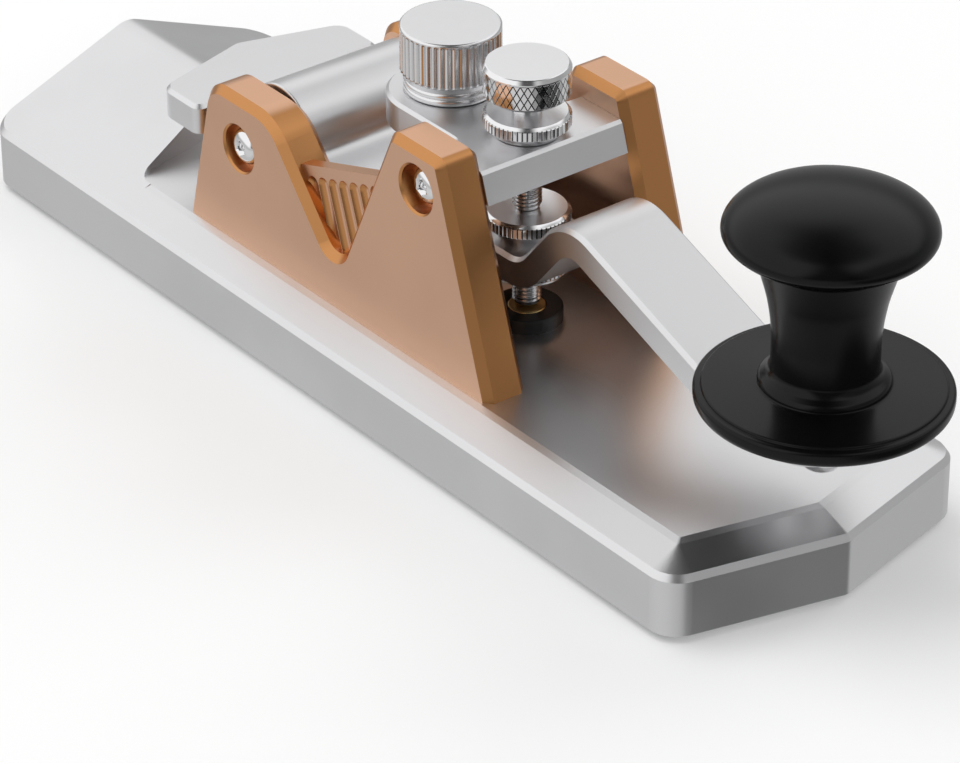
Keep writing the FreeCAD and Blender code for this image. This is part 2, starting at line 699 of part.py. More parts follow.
def cap_screw(label, radius, head_radius, head_height, length, dome):
    """A screw along +Z with its head below the seat, socket in the head."""
    blank = turned(f"{label}_blank", [
        (0, -head_height),
        (head_radius, -head_height, dome),
        (head_radius, 0),
        (radius, 0),
        (radius, length - s.turned_edge),
        (radius - s.turned_edge, length),
        (0, length),
    ])
    socket = part("Prism", f"{label}_socket", Polygon=6, Circumradius=s.hex_radius,
                  Height=s.hex_depth + 1)
    return cut(label, blank, [put(socket, 0, 0, -head_height - 1)])


frame_screws = []
for i, (x, y) in enumerate(frame_screws_at):
    length = s.flat_height - s.foot_head_recess + s.foot_screw_bite
    screw = cap_screw(f"frame_screw_{i}", s.foot_screw_radius, s.foot_head_radius,
                      s.foot_head_height, length, s.turned_edge)
    frame_screws.append(put(screw, x, y, s.foot_head_recess))
node(group("frame_screw_set", frame_screws), "frame_screws")

for name, y, z, depth in side_screws_at:
    side_screw_length = s.frame_thickness - depth + s.screw_reach
    pair = []
    for i, side in enumerate((-1, 1)):
        screw = cap_screw(f"{name}_screw_{i}", s.screw_radius, s.screw_head_radius,
                          s.screw_head_height, side_screw_length, s.screw_head_height * 0.9)
        pair.append(put(screw, side * (outer_x - depth), y, z, (0, 1, 0), -90 * side))
    node(group(f"{name}_screw_set", pair), f"{name}_screws")

# ---------------------------------------------------------------- pivot
axle = rod("axle_blank", s.axle_radius, s.frame_gap, -inner_x, 0, 0, EAST)
axle_depth = s.screw_reach + s.thread_depth_spare
axle_holes = [
    rod("axle_thread_0", s.screw_radius + s.close_clearance, axle_depth, -inner_x, 0, 0, EAST),
    rod("axle_thread_1", s.screw_radius + s.close_clearance, axle_depth,
        inner_x - axle_depth, 0, 0, EAST),
]
node(cut("axle_cut", axle, axle_holes), "pivot_axle", 0, s.pivot_y, s.pivot_height)

bearing_x = barrel_half - s.bearing_width / 2
ring_groove = s.ball_radius_small + s.ball_clearance


def ring(label, inner, outer, width, x):
    wall = turned(label, [(inner, 0), (outer, 0), (outer, width), (inner, width)])
    return put(wall, x, 0, 0, (0, 1, 0), 90)


def pair_of(label, make):
    return group(label, [make(0, -1), make(1, 1)])


def bearing_ring(name, inner, outer):
    def make(i, side):
        start = side * bearing_x - s.bearing_width / 2
        race = ring(f"{name}_{i}", inner, outer, s.bearing_width, start)
        groove = put(part("Torus", f"{name}_groove_{i}", Radius1=s.ball_ring_radius,
                          Radius2=ring_groove), side * bearing_x, 0, 0, (0, 1, 0), 90)
        return cut(f"{name}_cut_{i}", race, [groove])
    return make


def spacer(i, side):
    start = barrel_half if side > 0 else -inner_x
    return ring(f"spacer_{i}", s.axle_radius + s.close_clearance, s.spacer_radius,
                s.side_clearance, start)


inner_rings = pair_of("inner_ring_pair", bearing_ring(
    "inner_ring", s.axle_radius + s.close_clearance, s.axle_radius + s.ring_wall))
outer_rings = pair_of("outer_ring_pair", bearing_ring(
    "outer_ring", s.bearing_radius - s.ring_wall, s.bearing_radius - s.close_clearance))
node(inner_rings, "bearing_inner_rings", 0, s.pivot_y, s.pivot_height)
node(outer_rings, "bearing_outer_rings", 0, s.pivot_y, s.pivot_height)
node(pair_of("spacer_pair", spacer), "pivot_spacers", 0, s.pivot_y, s.pivot_height)
balls = []
for i, side in enumerate((-1, 1)):
    for j in range(8):
        ball = part("Sphere", f"ball_{i}_{j}", Radius=s.ball_radius_small)
        balls.append(put(ball, side * bearing_x, s.ball_ring_radius * maths("cos", 45 * j),
                         s.ball_ring_radius * maths("sin", 45 * j)))
node(group("ball_set", balls), "bearing_balls", 0, s.pivot_y, s.pivot_height)

# ---------------------------------------------------------------- lever
rise_y = s.rise_start - s.rise_height / maths("tan", s.rise_angle)
rise_z = s.plate_top + s.rise_height
land_y = rise_y - (rise_z - pad_top) / maths("tan", s.fall_angle)
arm_end = s.knob_y - s.arm_reach


def underside(y, z, entering, leaving):
    """The lever's lower corner below an upper one, between two climbs in degrees."""
    middle = (entering + leaving) / 2
    spread = maths("cos", (leaving - entering) / 2)
    return (y - s.plate_thickness * maths("sin", middle) / spread,
            z - s.plate_thickness * maths("cos", middle) / spread)


level = Size(0)
dip_low = underside(s.rise_start, s.plate_top, level, s.rise_angle)
hump_low = underside(rise_y, rise_z, s.rise_angle, -s.fall_angle)
land_low = underside(land_y, pad_top, -s.fall_angle, level)
arm = new_body("lever_side")
arm_line = profile(arm, "lever_line", "YZ_Plane", [
    (s.tail_apex + 1, s.tail_top),
    (s.pivot_y + 1, s.tail_top),
    (s.pivot_y - 1, s.plate_top),
    (s.rise_start, s.plate_top, s.dip_radius),
    (rise_y, rise_z, s.hump_radius),
    (land_y, pad_top, s.landing_radius),
    (arm_end - 1, pad_top),
    (arm_end - 1, pad_bottom),
    (*land_low, s.landing_radius + s.plate_thickness),
    (*hump_low, s.hump_radius - s.plate_thickness),
    (*dip_low, s.dip_radius + s.plate_thickness),
    (s.pivot_y - 1, plate_bottom),
    (s.pivot_y + 1, tail_bottom),
    (s.tail_apex + 1, tail_bottom),
], -s.tail_half_width)
feature(arm, "Pad", "lever_pad", Profile=arm_line, Length=2 * s.tail_half_width)
tail_corner = s.tail_apex - s.tail_grade * s.tail_half_width
arm_half = s.arm_width / 2
half_plan = [
    (s.tail_half_width, tail_corner, s.tail_radius),
    (s.tail_half_width, s.tail_front, s.tail_radius * 0.5),
    (s.neck_half_width, s.tail_front),
    (s.neck_half_width, s.shoulder_y, s.shoulder_radius),
    (arm_half, s.shoulder_y - s.shoulder_run, s.shoulder_radius),
    (arm_half, arm_end, arm_half - 0.2),
]
west_plan = [(-corner[0], *corner[1:]) for corner in half_plan]
plan = new_body("lever_plan")
plan_line = profile(plan, "lever_outline", "XY_Plane",
                    [(0, s.tail_apex, s.tail_radius)] + west_plan + half_plan[::-1])
feature(plan, "Pad", "lever_plan_pad", Profile=plan_line, Length=s.bridge_top)
flat_lever = part("Common", "flat_lever", Base=arm, Tool=plan)


def upper_edges(thing):
    """Numbers of the edges along the top of a plate-like solid."""
    doc.recompute()
    solid = thing.Shape.Solids[0]
    found = []
    for i, edge in enumerate(thing.Shape.Edges, start=1):
        middle = (edge.FirstParameter + edge.LastParameter) / 2
        point = edge.valueAt(middle)
        along = edge.tangentAt(middle)
        inward = V(-point.x, 0, 0) if abs(point.x) > 0.1 else V(0, -1, 0)
        if abs(along.x) > 0.8:
            inward = V(0, -1 if solid.isInside(point + V(0, -0.1, -0.15), 0.001, False) else 1, 0)
        inward = inward.normalize() * 0.1
        below = solid.isInside(point + inward - V(0, 0, 0.15), 0.001, False)
        above = solid.isInside(point + inward + V(0, 0, 0.15), 0.001, False)
        across = near(abs(point.x), 0) and abs(along.x) > 0.99
        if below and not above and abs(along.z) < 0.95 and not across:
            found.append(i)
    return found


size = number(s.lever_bevel)
bevelled_lever = part("Chamfer", "bevelled_lever", Base=flat_lever,
                      Edges=[(i, size, size) for i in upper_edges(flat_lever)])
barrel = turned("barrel", [
    (0, -barrel_half),
    (s.barrel_radius, -barrel_half, s.turned_edge),
    (s.barrel_radius, barrel_half, s.turned_edge),
    (0, barrel_half),
])
put(barrel, 0, s.pivot_y, s.pivot_height, (0, 1, 0), 90)
fillet_z = s.plate_top + s.barrel_fillet
fillet_span = s.barrel_radius + s.barrel_fillet
fillet_rise = fillet_z - s.pivot_height
fillet_y = s.pivot_y - maths("sqrt", fillet_span * fillet_span - fillet_rise * fillet_rise)
touch_y = s.pivot_y - (s.pivot_y - fillet_y) * s.barrel_radius / fillet_span
touch_z = s.pivot_height + fillet_rise * s.barrel_radius / fillet_span
fillet_half = s.neck_half_width - s.lever_bevel
fillet_block = block("fillet_block", (-fillet_half, fillet_half), (fillet_y, touch_y + 1.5),
                     (s.plate_top - 0.5, touch_z))
fillet_round = rod("fillet_round", s.barrel_fillet, s.base_width, -half_width, fillet_y,
                   fillet_z, EAST)
lever_solid = fuse("lever_solid", [bevelled_lever, barrel,
                                   cut("fillet", fillet_block, [fillet_round])])
seat_depth = s.bearing_width
lever_tools = [
    rod("barrel_bore", s.barrel_bore, s.base_width, -half_width, s.pivot_y, s.pivot_height, EAST),
    rod("bearing_seat_0", s.bearing_radius, seat_depth + 1, -barrel_half - 1, s.pivot_y,
        s.pivot_height, EAST),
    rod("bearing_seat_1", s.bearing_radius, seat_depth + 1, barrel_half - seat_depth,
        s.pivot_y, s.pivot_height, EAST),
    rod("bolt_hole", s.stem_radius + s.close_clearance, s.base_width, 0, s.gap_y, 0),
    rod("knob_hole", s.knob_screw_radius + s.plain_clearance, s.base_width, 0, s.knob_y, 0),
    rod("magnet_pocket", s.magnet_radius + s.close_clearance, s.magnet_height + 1, 0,
        s.tension_y, s.plate_top - s.magnet_height),
]
node(cut("lever_cut", lever_solid, lever_tools), "lever")
lever_magnet = turned("lever_magnet_disc", [
    (0, 0),
    (s.magnet_radius, 0),
    (s.magnet_radius, s.magnet_height),
    (0, s.magnet_height),
])
node(lever_magnet, "lever_magnet", 0, s.tension_y, s.plate_top - s.magnet_height)

# ---------------------------------------------------------------- contacts
edge = s.turned_edge
bolt = turned("bolt", [
    (0, contact_tip),
    (s.stem_radius, contact_tip, edge),
    (s.stem_radius, s.plate_top),
    (s.disc_foot_radius, s.plate_top),
    (s.knurl_radius, s.plate_top + s.disc_slope),
    (s.knurl_radius, disc_top - edge),
    (s.knurl_radius - edge, disc_top),
    (0, disc_top),
])
node(bolt, "contact_bolt", 0, s.gap_y)


def knurled_ring(label, low, high, slope):
    """A knurled nut on a stem; the slope is below its knurl, down to its seat."""
    bore = s.stem_radius + s.close_clearance
    return turned(label, [
        (bore, low),
        (s.knurl_radius - slope if slope == edge else s.disc_foot_radius, low),
        (s.knurl_radius, low + slope),
        (s.knurl_radius, high - edge),
        (s.knurl_radius - edge, high),
        (bore, high),
    ])


node(knurled_ring("bolt_nut", plate_bottom - s.lock_height, plate_bottom, edge),
     "contact_bolt_nut", 0, s.gap_y)
lock_low = s.bridge_top + s.knob_seat_gap
node(knurled_ring("lock_nut", lock_low, s.bridge_top + s.disc_height, s.disc_slope),
     "gap_lock_nut", 0, s.gap_y)

button_low = s.button_top - s.button_height
stud = turned("stud", [
    (0, nut_bottom - s.stud_spare),
    (s.stud_radius, nut_bottom - s.stud_spare, edge),
    (s.stud_radius, button_low),
    (s.button_radius, button_low),
    (s.button_radius, s.button_top, edge),
    (0, s.button_top),
])
node(stud, "contact_stud", 0, s.gap_y)
stud_bore = s.stud_radius + s.close_clearance
button_bore = s.button_radius + s.close_clearance
insulator = turned("insulator", [
    (stud_bore, s.duct_top),
    (s.sleeve_radius, s.duct_top),
    (s.sleeve_radius, s.flat_height),
    (s.insulator_radius, s.flat_height),
    (s.insulator_radius, insulator_top, edge),
    (button_bore, insulator_top),
    (button_bore, button_low),
    (stud_bore, button_low),
])
node(insulator, "contact_insulator", 0, s.gap_y)
washer = turned("washer", [
    (stud_bore, washer_bottom),
    (s.washer_radius, washer_bottom),
    (s.washer_radius, s.duct_top),
    (stud_bore, s.duct_top),
])
node(washer, "contact_washer", 0, s.gap_y)


def solder_tag(label, radius, reach, tail_x, bore):
    """A ring with a tail along +Y beside its middle."""
    eye = rod(f"{label}_eye", radius, s.lug_thickness)
    tail = block(f"{label}_tail", (tail_x - s.lug_width / 2, tail_x + s.lug_width / 2),
                 (0, reach), (0, s.lug_thickness))
    hole = rod(f"{label}_hole", bore, s.lug_thickness + 2, 0, 0, -1)
    return cut(label, fuse(f"{label}_plate", [eye, tail]), [hole])


node(solder_tag("signal_eye", s.tag_radius, s.tag_reach, s.lug_x, stud_bore),
     "contact_tag", 0, s.gap_y, tag_bottom)
stud_nut = cut("stud_nut", part("Prism", "stud_hex", Polygon=6, Circumradius=s.nut_radius,
                                Height=s.nut_height),
               [rod("stud_nut_bore", stud_bore, s.nut_height + 2, 0, 0, -1)])
node(stud_nut, "contact_nut", 0, s.gap_y, nut_bottom)

# ---------------------------------------------------------------- jack and wires
jack_block = block("jack_block", (-s.jack_half, s.jack_half), (jack_front, jack_face),
                   (s.jack_height - s.jack_half, s.jack_height + s.jack_half))
jack_bush = rod("jack_bush", s.jack_bush_radius, s.jack_wall, 0, jack_face, s.jack_height, NORTH)
jack_tools = [rod("jack_bore", s.jack_bore_radius, s.jack_bore_length + 1, 0,
                  rear_y - s.jack_bore_length, s.jack_height, NORTH)]
lugs = []
for i, side in enumerate((-1, 1)):
    span = (side * s.lug_x - s.lug_width / 2, side * s.lug_x + s.lug_width / 2)
    low = s.jack_height - s.lug_thickness / 2
    lugs.append(block(f"lug_{i}", span, (jack_front - s.lug_reach, jack_front + 1.2),
                      (low, low + s.lug_thickness)))
    jack_tools.append(block(f"lug_slot_{i}",
                            (span[0] - s.close_clearance, span[1] + s.close_clearance),
                            (jack_front - 1, jack_front + 1.2),
                            (low - s.close_clearance, low + s.lug_thickness + s.close_clearance)))
node(cut("jack_cut", fuse("jack_solid", [jack_block, jack_bush]), jack_tools), "jack_body")
node(group("lug_pair", lugs), "jack_lugs")
nut_round = rod("jack_nut_round", s.jack_nut_radius, s.jack_nut_depth)
nut_tools = [rod("jack_nut_bore", s.jack_bush_radius + s.close_clearance, s.jack_nut_depth + 2,
                 0, 0, -1)]
for i, side in enumerate((-1, 1)):
    nut_tools.append(block(f"jack_nut_slot_{i}", (side * s.jack_nut_radius - 0.8,
                                                  side * s.jack_nut_radius + 0.8),
                           (-0.5, 0.5), (s.jack_nut_depth - 0.7, s.jack_nut_depth + 1)))
node(cut("jack_nut_cut", nut_round, nut_tools), "jack_nut", 0, rear_y - s.jack_nut_depth,
     s.jack_height, *NORTH)

wire_z = tag_bottom - s.wire_radius
wire_y = s.gap_y + s.nut_radius + 0.8
rise_wire_y = jack_front - s.lug_reach + 1
lug_low = s.jack_height - s.lug_thickness / 2
signal_parts = [
    rod("signal_run", s.wire_radius, rise_wire_y - wire_y, s.lug_x, wire_y, wire_z, NORTH),
    rod("signal_rise", s.wire_radius, lug_low - wire_z, s.lug_x, rise_wire_y, wire_z),
    put(part("Sphere", "signal_bend", Radius=s.wire_radius), s.lug_x, rise_wire_y, wire_z),
]
node(fuse("signal_wire_run", signal_parts), "signal_wire")
ground_low = lug_low + s.lug_thickness
node(rod("ground_rise", s.wire_radius, s.jack_bay_top - s.lug_thickness - ground_low),
     "ground_wire", -s.lug_x, rise_wire_y, ground_low)
node(solder_tag("ground_eye", s.cover_head_radius, rise_wire_y - ground_y + 1,
                -s.lug_x - ground_x, s.cover_screw_radius + s.close_clearance),
     "ground_tag", ground_x, ground_y, s.jack_bay_top - s.lug_thickness)
ground_screw = turned("ground_pan", [
    (0, -1),
    (s.ground_head_radius, -1, edge),
    (s.ground_head_radius, 0),
    (s.cover_screw_radius, 0),
    (s.cover_screw_radius, s.ground_screw_length),
    (0, s.ground_screw_length),
])
node(ground_screw, "ground_screw", ground_x, ground_y, s.jack_bay_top - s.lug_thickness)

# ---------------------------------------------------------------- bridge
bridge = new_body("bridge_plate")
bridge_side = inner_x - s.bridge_side_gap
bar = profile(bridge, "bridge_plan", "XY_Plane", [
    (-bridge_side, s.bridge_front),
    (bridge_side, s.bridge_front),
    (bridge_side, s.bar_rear),
    (s.tongue_radius, s.bar_rear, s.bar_radius),
    (s.tongue_radius, s.tension_y + s.tongue_radius, s.tongue_radius - 0.1),
    (-s.tongue_radius, s.tension_y + s.tongue_radius, s.tongue_radius - 0.1),
    (-s.tongue_radius, s.bar_rear, s.bar_radius),
    (-bridge_side, s.bar_rear),
], bridge_bottom)
feature(bridge, "Pad", "bridge_pad", Profile=bar, Length=s.bridge_thickness)
bridge_side_value = number(bridge_side)
bridge_top_value = number(s.bridge_top)
bevelled(bridge, "bridge_bevels", "Chamfer", s.bridge_bevel, lambda p: near(
    p.z, bridge_top_value) and abs(p.x) < bridge_side_value - 0.05)
toe = profile(bridge, "bridge_toe", "YZ_Plane", [
    (s.bridge_front, s.bridge_top - s.bridge_bevel),
    (s.bridge_front - (s.bridge_thickness - s.bridge_bevel) * maths("tan", s.front_lean),
     bridge_bottom),
    (s.bridge_front + 1, bridge_bottom),
], -bridge_side)
feature(bridge, "Pad", "bridge_toe_pad", Profile=toe, Length=2 * bridge_side)
bridge_tools = []
for name, y in (("gap", s.gap_y), ("tension", s.tension_y)):
    bridge_tools.append(rod(f"{name}_thread", s.stem_radius + s.close_clearance,
                            s.bridge_top, 0, y, 1))
for i, start in enumerate((-bridge_side - 1, bridge_side - s.screw_reach - s.thread_depth_spare)):
    bridge_tools.append(rod(f"bridge_thread_{i}", s.screw_radius + s.close_clearance,
                            s.screw_reach + s.thread_depth_spare + 1, start, s.gap_y,
                            s.bridge_screw_height, EAST))
node(cut("bridge_cut", bridge, bridge_tools), "bridge")

# ---------------------------------------------------------------- adjusting screws
gap_knob_low = s.bridge_top + s.gap_knob_rise
gap_stem = turned("gap_stem", [
    (0, disc_top + s.rest_clearance),
    (s.stem_radius, disc_top + s.rest_clearance, edge),
    (s.stem_radius, gap_knob_low + s.knob_bite),
    (0, gap_knob_low + s.knob_bite),
])
node(gap_stem, "gap_screw", 0, s.gap_y)
stem_bore = s.stem_radius + s.close_clearance
gap_top = gap_knob_low + s.gap_knob_height
gap_head = turned("gap_head", [
    (0, gap_knob_low + s.knob_bite + edge),
    (stem_bore, gap_knob_low + s.knob_bite + edge),
    (stem_bore, gap_knob_low),
    (s.knurl_radius - edge, gap_knob_low),
    (s.knurl_radius, gap_knob_low + edge),
    (s.knurl_radius, gap_top - s.gap_knob_crown),
    (s.knurl_radius - edge, gap_top),
    (0, gap_top),
])
node(gap_head, "gap_knob", 0, s.gap_y)
tension_low = s.bridge_top + s.knob_seat_gap
tension_top = s.bridge_top + s.tension_height
tension_stem = turned("tension_stem", [
    (0, s.tension_end),
    (s.stem_radius, s.tension_end),
    (s.stem_radius, tension_low + s.knob_bite),
    (0, tension_low + s.knob_bite),
])
node(tension_stem, "tension_screw", 0, s.tension_y)
collar_top = s.bridge_top + s.collar_height
tension_head = turned("tension_head", [
    (0, tension_low + s.knob_bite + edge),
    (stem_bore, tension_low + s.knob_bite + edge),
    (stem_bore, tension_low),
    (s.collar_radius, tension_low, edge),
    (s.collar_top_radius, collar_top),
    (s.tension_radius, collar_top),
    (s.tension_radius, tension_top - s.gap_knob_crown),
    (s.tension_radius - edge, tension_top),
    (0, tension_top),
])
node(tension_head, "tension_knob", 0, s.tension_y)
tension_magnet = turned("tension_magnet_disc", [
    (0, 0),
    (s.magnet_radius, 0),
    (s.magnet_radius, s.magnet_height),
    (0, s.magnet_height),
])
node(tension_magnet, "tension_magnet", 0, s.tension_y, s.tension_end - s.magnet_height)

# ---------------------------------------------------------------- finger knob
knob_bore = s.knob_screw_radius + s.close_clearance
bore_top = s.knob_screw_bite + s.thread_depth_spare
rim_top = s.skirt_bottom + s.skirt_thickness
lip_radius = s.skirt_radius - s.lip_width


def oval(first, second, rise, rounding):
    """A corner where the oval's tangents at two angles meet."""
    middle = (first + second) / 2
    spread = maths("cos", (first - second) / 2)
    return (s.rest_radius * maths("cos", middle) / spread,
            s.rest_middle + rise * maths("sin", middle) / spread, rounding)


knob = turned("finger_knob", [
    (0, bore_top),
    (knob_bore, bore_top),
    (knob_bore, 0),
    (s.boss_radius, 0),
    (s.boss_radius, s.skirt_bottom, 0.8),
    (s.skirt_radius, s.skirt_bottom, 1.0),
    (s.skirt_radius, rim_top, 0.4),
    (lip_radius, rim_top),
    (lip_radius, rim_top + s.lip_step),
    (s.ring_radius, s.ring_height - 0.6, 0.3),
    (s.ring_radius, s.ring_height, 0.3),
    (s.neck_radius, s.ring_height + 0.9, 1.2),
    (s.neck_radius, s.waist_height, 12),
    (s.flare_radius, s.flare_height, 2),
    oval(0, -30, s.rest_fall, 1.3),
    oval(0, 25, s.rest_rise, 2.3),
    oval(25, 55, s.rest_rise, 9.5),
    oval(55, 90, s.rest_rise, 28),
    (0, s.rest_middle + s.rest_rise),
])
node(knob, "knob", 0, s.knob_y, pad_top)
knob_screw = cap_screw("knob_screw_solid", s.knob_screw_radius, s.knob_head_radius,
                       s.knob_head_height, s.plate_thickness + s.knob_screw_bite,
                       s.knob_head_height * 0.9)
node(knob_screw, "knob_screw", 0, s.knob_y, pad_bottom)

# ---------------------------------------------------------------- checks and files
doc.recompute()
for thing in doc.Objects:
    if "Invalid" in thing.State or "Error" in thing.State:
        raise RuntimeError(f"{thing.Label}: {thing.State}")
    if hasattr(thing, "Shape") and thing.TypeId.startswith(("PartDesign::Body", "Part::")):
        if thing.Shape.isNull() or not thing.Shape.isValid():
            raise RuntimeError(f"{thing.Label}: bad shape")
for thing in nodes:
    thing.Shape.exportStep(f"parts/{thing.Label}.step")
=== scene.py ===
"""Straight morse key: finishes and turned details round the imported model."""
import json
import math

import bpy
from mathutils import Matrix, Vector

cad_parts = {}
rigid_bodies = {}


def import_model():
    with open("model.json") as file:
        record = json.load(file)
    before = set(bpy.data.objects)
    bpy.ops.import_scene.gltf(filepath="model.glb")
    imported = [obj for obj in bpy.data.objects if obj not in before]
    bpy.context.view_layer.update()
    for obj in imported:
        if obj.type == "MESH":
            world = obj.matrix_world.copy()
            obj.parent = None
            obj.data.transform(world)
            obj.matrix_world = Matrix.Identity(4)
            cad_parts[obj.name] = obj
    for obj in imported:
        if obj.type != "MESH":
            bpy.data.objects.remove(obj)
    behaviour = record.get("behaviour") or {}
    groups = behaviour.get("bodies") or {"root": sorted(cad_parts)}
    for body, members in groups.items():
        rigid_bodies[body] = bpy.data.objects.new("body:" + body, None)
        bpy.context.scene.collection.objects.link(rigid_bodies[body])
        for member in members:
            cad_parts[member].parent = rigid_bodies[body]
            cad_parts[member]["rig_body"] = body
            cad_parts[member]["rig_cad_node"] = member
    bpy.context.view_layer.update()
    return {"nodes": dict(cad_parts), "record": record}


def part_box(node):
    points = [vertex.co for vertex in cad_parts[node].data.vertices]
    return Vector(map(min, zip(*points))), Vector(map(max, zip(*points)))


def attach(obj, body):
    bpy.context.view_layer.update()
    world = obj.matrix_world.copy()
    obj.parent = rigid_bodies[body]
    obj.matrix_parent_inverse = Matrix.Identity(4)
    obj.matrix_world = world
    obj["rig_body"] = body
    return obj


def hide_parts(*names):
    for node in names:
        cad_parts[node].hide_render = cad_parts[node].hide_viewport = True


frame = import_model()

NODES = frame["nodes"]
MM = 0.001
MERGE = 0.001 * MM
PLATING_ROUGHNESS = 0.07
PLATING_FACE = 0.22
STEM_RADIUS = 1.8 * MM

bl_info = {
    "name": "Straight morse key",
    "version": (1, 0, 0),
    "blender": (4, 5, 0),
    "location": "3D View > Sidebar > Key",
    "description": "Finishes, knurling, threads and studio for a straight morse key",
    "category": "Object",
}


# ---------------------------------------------------------------- shader maths
class Value:
    """A socket of a finish's nodes, which works in Python expressions."""

    def __init__(self, finish, socket):
        self.finish = finish
        self.socket = socket

    def _math(self, operation, *values):
        settings = {"operation": operation}
        return self.finish.node("ShaderNodeMath", settings, dict(enumerate(values)))

    def __add__(self, other):
        return self._math("ADD", self, other)

    def __mul__(self, other):
        return self._math("MULTIPLY", self, other)

    def __sub__(self, other):
        return self._math("SUBTRACT", self, other)

    def __rsub__(self, other):
        return self._math("SUBTRACT", other, self)

    def __abs__(self):
        return self._math("ABSOLUTE", self)

    __radd__ = __add__
    __rmul__ = __mul__

    def ramp(self, low, high, first=0.0, last=1.0):
        """Goes smoothly from first to last as this value goes from low to high."""
        settings = {"interpolation_type": "SMOOTHSTEP"}
        values = {
            "Value": self, "From Min": low, "From Max": high, "To Min": first, "To Max": last,
        }
        return self.finish.node("ShaderNodeMapRange", settings, values)

    def blend(self, first, last):
        """The first colour where this value is 0 and the last where it is 1."""
        values = {0: self, 6: first, 7: last}
        return self.finish.node("ShaderNodeMix", {"data_type": "RGBA"}, values, output=2)

    def along(self, direction):
        """How far this vector goes in a direction."""
        settings = {"operation": "DOT_PRODUCT"}
        values = {0: self, 1: direction}
        return self.finish.node("ShaderNodeVectorMath", settings, values, output="Value")

    def part(self, letter):
        """The x, y or z of this vector."""
        split = self.finish.node("ShaderNodeSeparateXYZ", {}, {0: self})
        return Value(self.finish, split.socket.node.outputs["XYZ".index(letter.upper())])


class Finish:
    """A material under construction."""

    def __init__(self, name, **constants):
        self.material = bpy.data.materials.new(name)
        self.material.use_nodes = True
        self.tree = self.material.node_tree
        self.shader = self.tree.nodes["Principled BSDF"]
        for socket, value in constants.items():
            self.shader.inputs[socket.replace("_", " ")].default_value = value

    def node(self, kind, settings, values, output=0):
        """Adds a node, sets it up, then gives its sockets values or links."""
        node = self.tree.nodes.new(kind)
        for key, value in settings.items():
            setattr(node, key, value)
        for key, value in values.items():
            if isinstance(value, Value):
                self.tree.links.new(value.socket, node.inputs[key])
            else:
                node.inputs[key].default_value = value
        return Value(self, node.outputs[output])

    def place(self):
        """Object coordinates in millimetres."""
        spot = self.node("ShaderNodeTexCoord", {}, {}, output="Object")
        values = {0: spot, "Scale": 1 / MM}
        return self.node("ShaderNodeVectorMath", {"operation": "SCALE"}, values)

    def facing(self):
        """The surface's direction on the object."""
        return self.node("ShaderNodeTexCoord", {}, {}, output="Normal")

    def noise(self, scale, detail=2.0, at=None):
        """Even mottling, with its scale per millimetre."""
        values = {"Vector": at or self.place(), "Scale": scale, "Detail": detail}
        return self.node("ShaderNodeTexNoise", {}, values)

    def stretched(self, x, y, z):
        """Object coordinates with each axis stretched, for brushed and turned marks."""
        values = {0: self.place(), 1: (x, y, z)}
        return self.node("ShaderNodeVectorMath", {"operation": "MULTIPLY"}, values)

    def feed(self, socket, value):
        """Links a value to one of the shader's sockets."""
        self.tree.links.new(value.socket, self.shader.inputs[socket])

    def bump(self, height, depth):
        """Feeds a bump of the given depth in millimetres."""
        values = {"Height": height, "Distance": depth * MM, "Strength": 1.0}
        self.feed("Normal", self.node("ShaderNodeBump", {}, values))


def tint(colour, factor):
    """The colour times a factor, with its alpha kept."""
    return (*(min(c * factor, 1.0) for c in colour[:3]), 1.0)


def blasted(name, colour, roughness, edge_colour=None):
    """Bead-blasted and anodised aluminium.

    With an edge colour, only faces that look along x or straight up have the body's colour; on the
    frames this is a painted sheen, lighter and pinker than the edge colour.
    """
    finish = Finish(name, Metallic=1.0)
    cloud = finish.noise(0.05, 3.0).ramp(0.35, 0.65)
    body = cloud.blend(tint(colour, 0.97), tint(colour, 1.02))
    if edge_colour:
        # Painted sheen: faces along x, and most of it on faces looking up, take the lighter body
        # colour; the other faces keep the darker edge colour.
        facing = finish.facing()
        sheen_sides = abs(facing.part("x")).ramp(0.93, 0.985)
        sheen_tops = facing.part("z").ramp(0.93, 0.985)
        body = (sheen_sides + 0.8 * sheen_tops).blend(edge_colour, body)
    finish.feed("Base Color", body)
    grain = finish.noise(9.0, 4.0)
    finish.feed("Roughness", roughness + 0.04 * cloud + 0.05 * grain)
    finish.bump(grain, 0.0004)
    return finish.material


def plated(name, colour, roughness, face=PLATING_FACE, grooves=None):
    """Turned and plated metal, rougher by face on its top, with fine turning rings.

    Grooves give an axis, the radii of their roots and crests, their lowest and highest
    points, and the share of the colour that is left at their roots, as painted shade in the
    grooves.
    """
    finish = Finish(name, Metallic=1.0)
    top = finish.facing().part("z").ramp(0.92, 0.99)
    cloud = finish.noise(0.6, 3.0)
    body = cloud.blend(tint(colour, 0.97), tint(colour, 1.02))
    # Painted shade: the colour darkens from the crests down to the groove roots, between the
    # grooves' lowest and highest points.
    if grooves:
        axis, root, crest, low, high, shade = grooves
        spot = finish.place()
        x = spot.part("x") - axis[0] / MM
        y = spot.part("y") - axis[1] / MM
        z = spot.part("z")
        fade = 0.1
        painted_root_shade = (x * x + y * y).ramp((root / MM) ** 2, (crest / MM) ** 2, 1.0, 0.0)
        above = z.ramp(low / MM, low / MM + fade)
        below = z.ramp(high / MM - fade, high / MM, 1.0, 0.0)
        body = (painted_root_shade * above * below).blend(body, tint(colour, shade))
    finish.feed("Base Color", body)
    rings = finish.noise(1.0, 3.0, finish.stretched(0.15, 0.15, 14.0))
    finish.feed("Roughness", roughness + 0.05 * cloud + face * top)
    finish.bump(rings, 0.0008)
    return finish.material


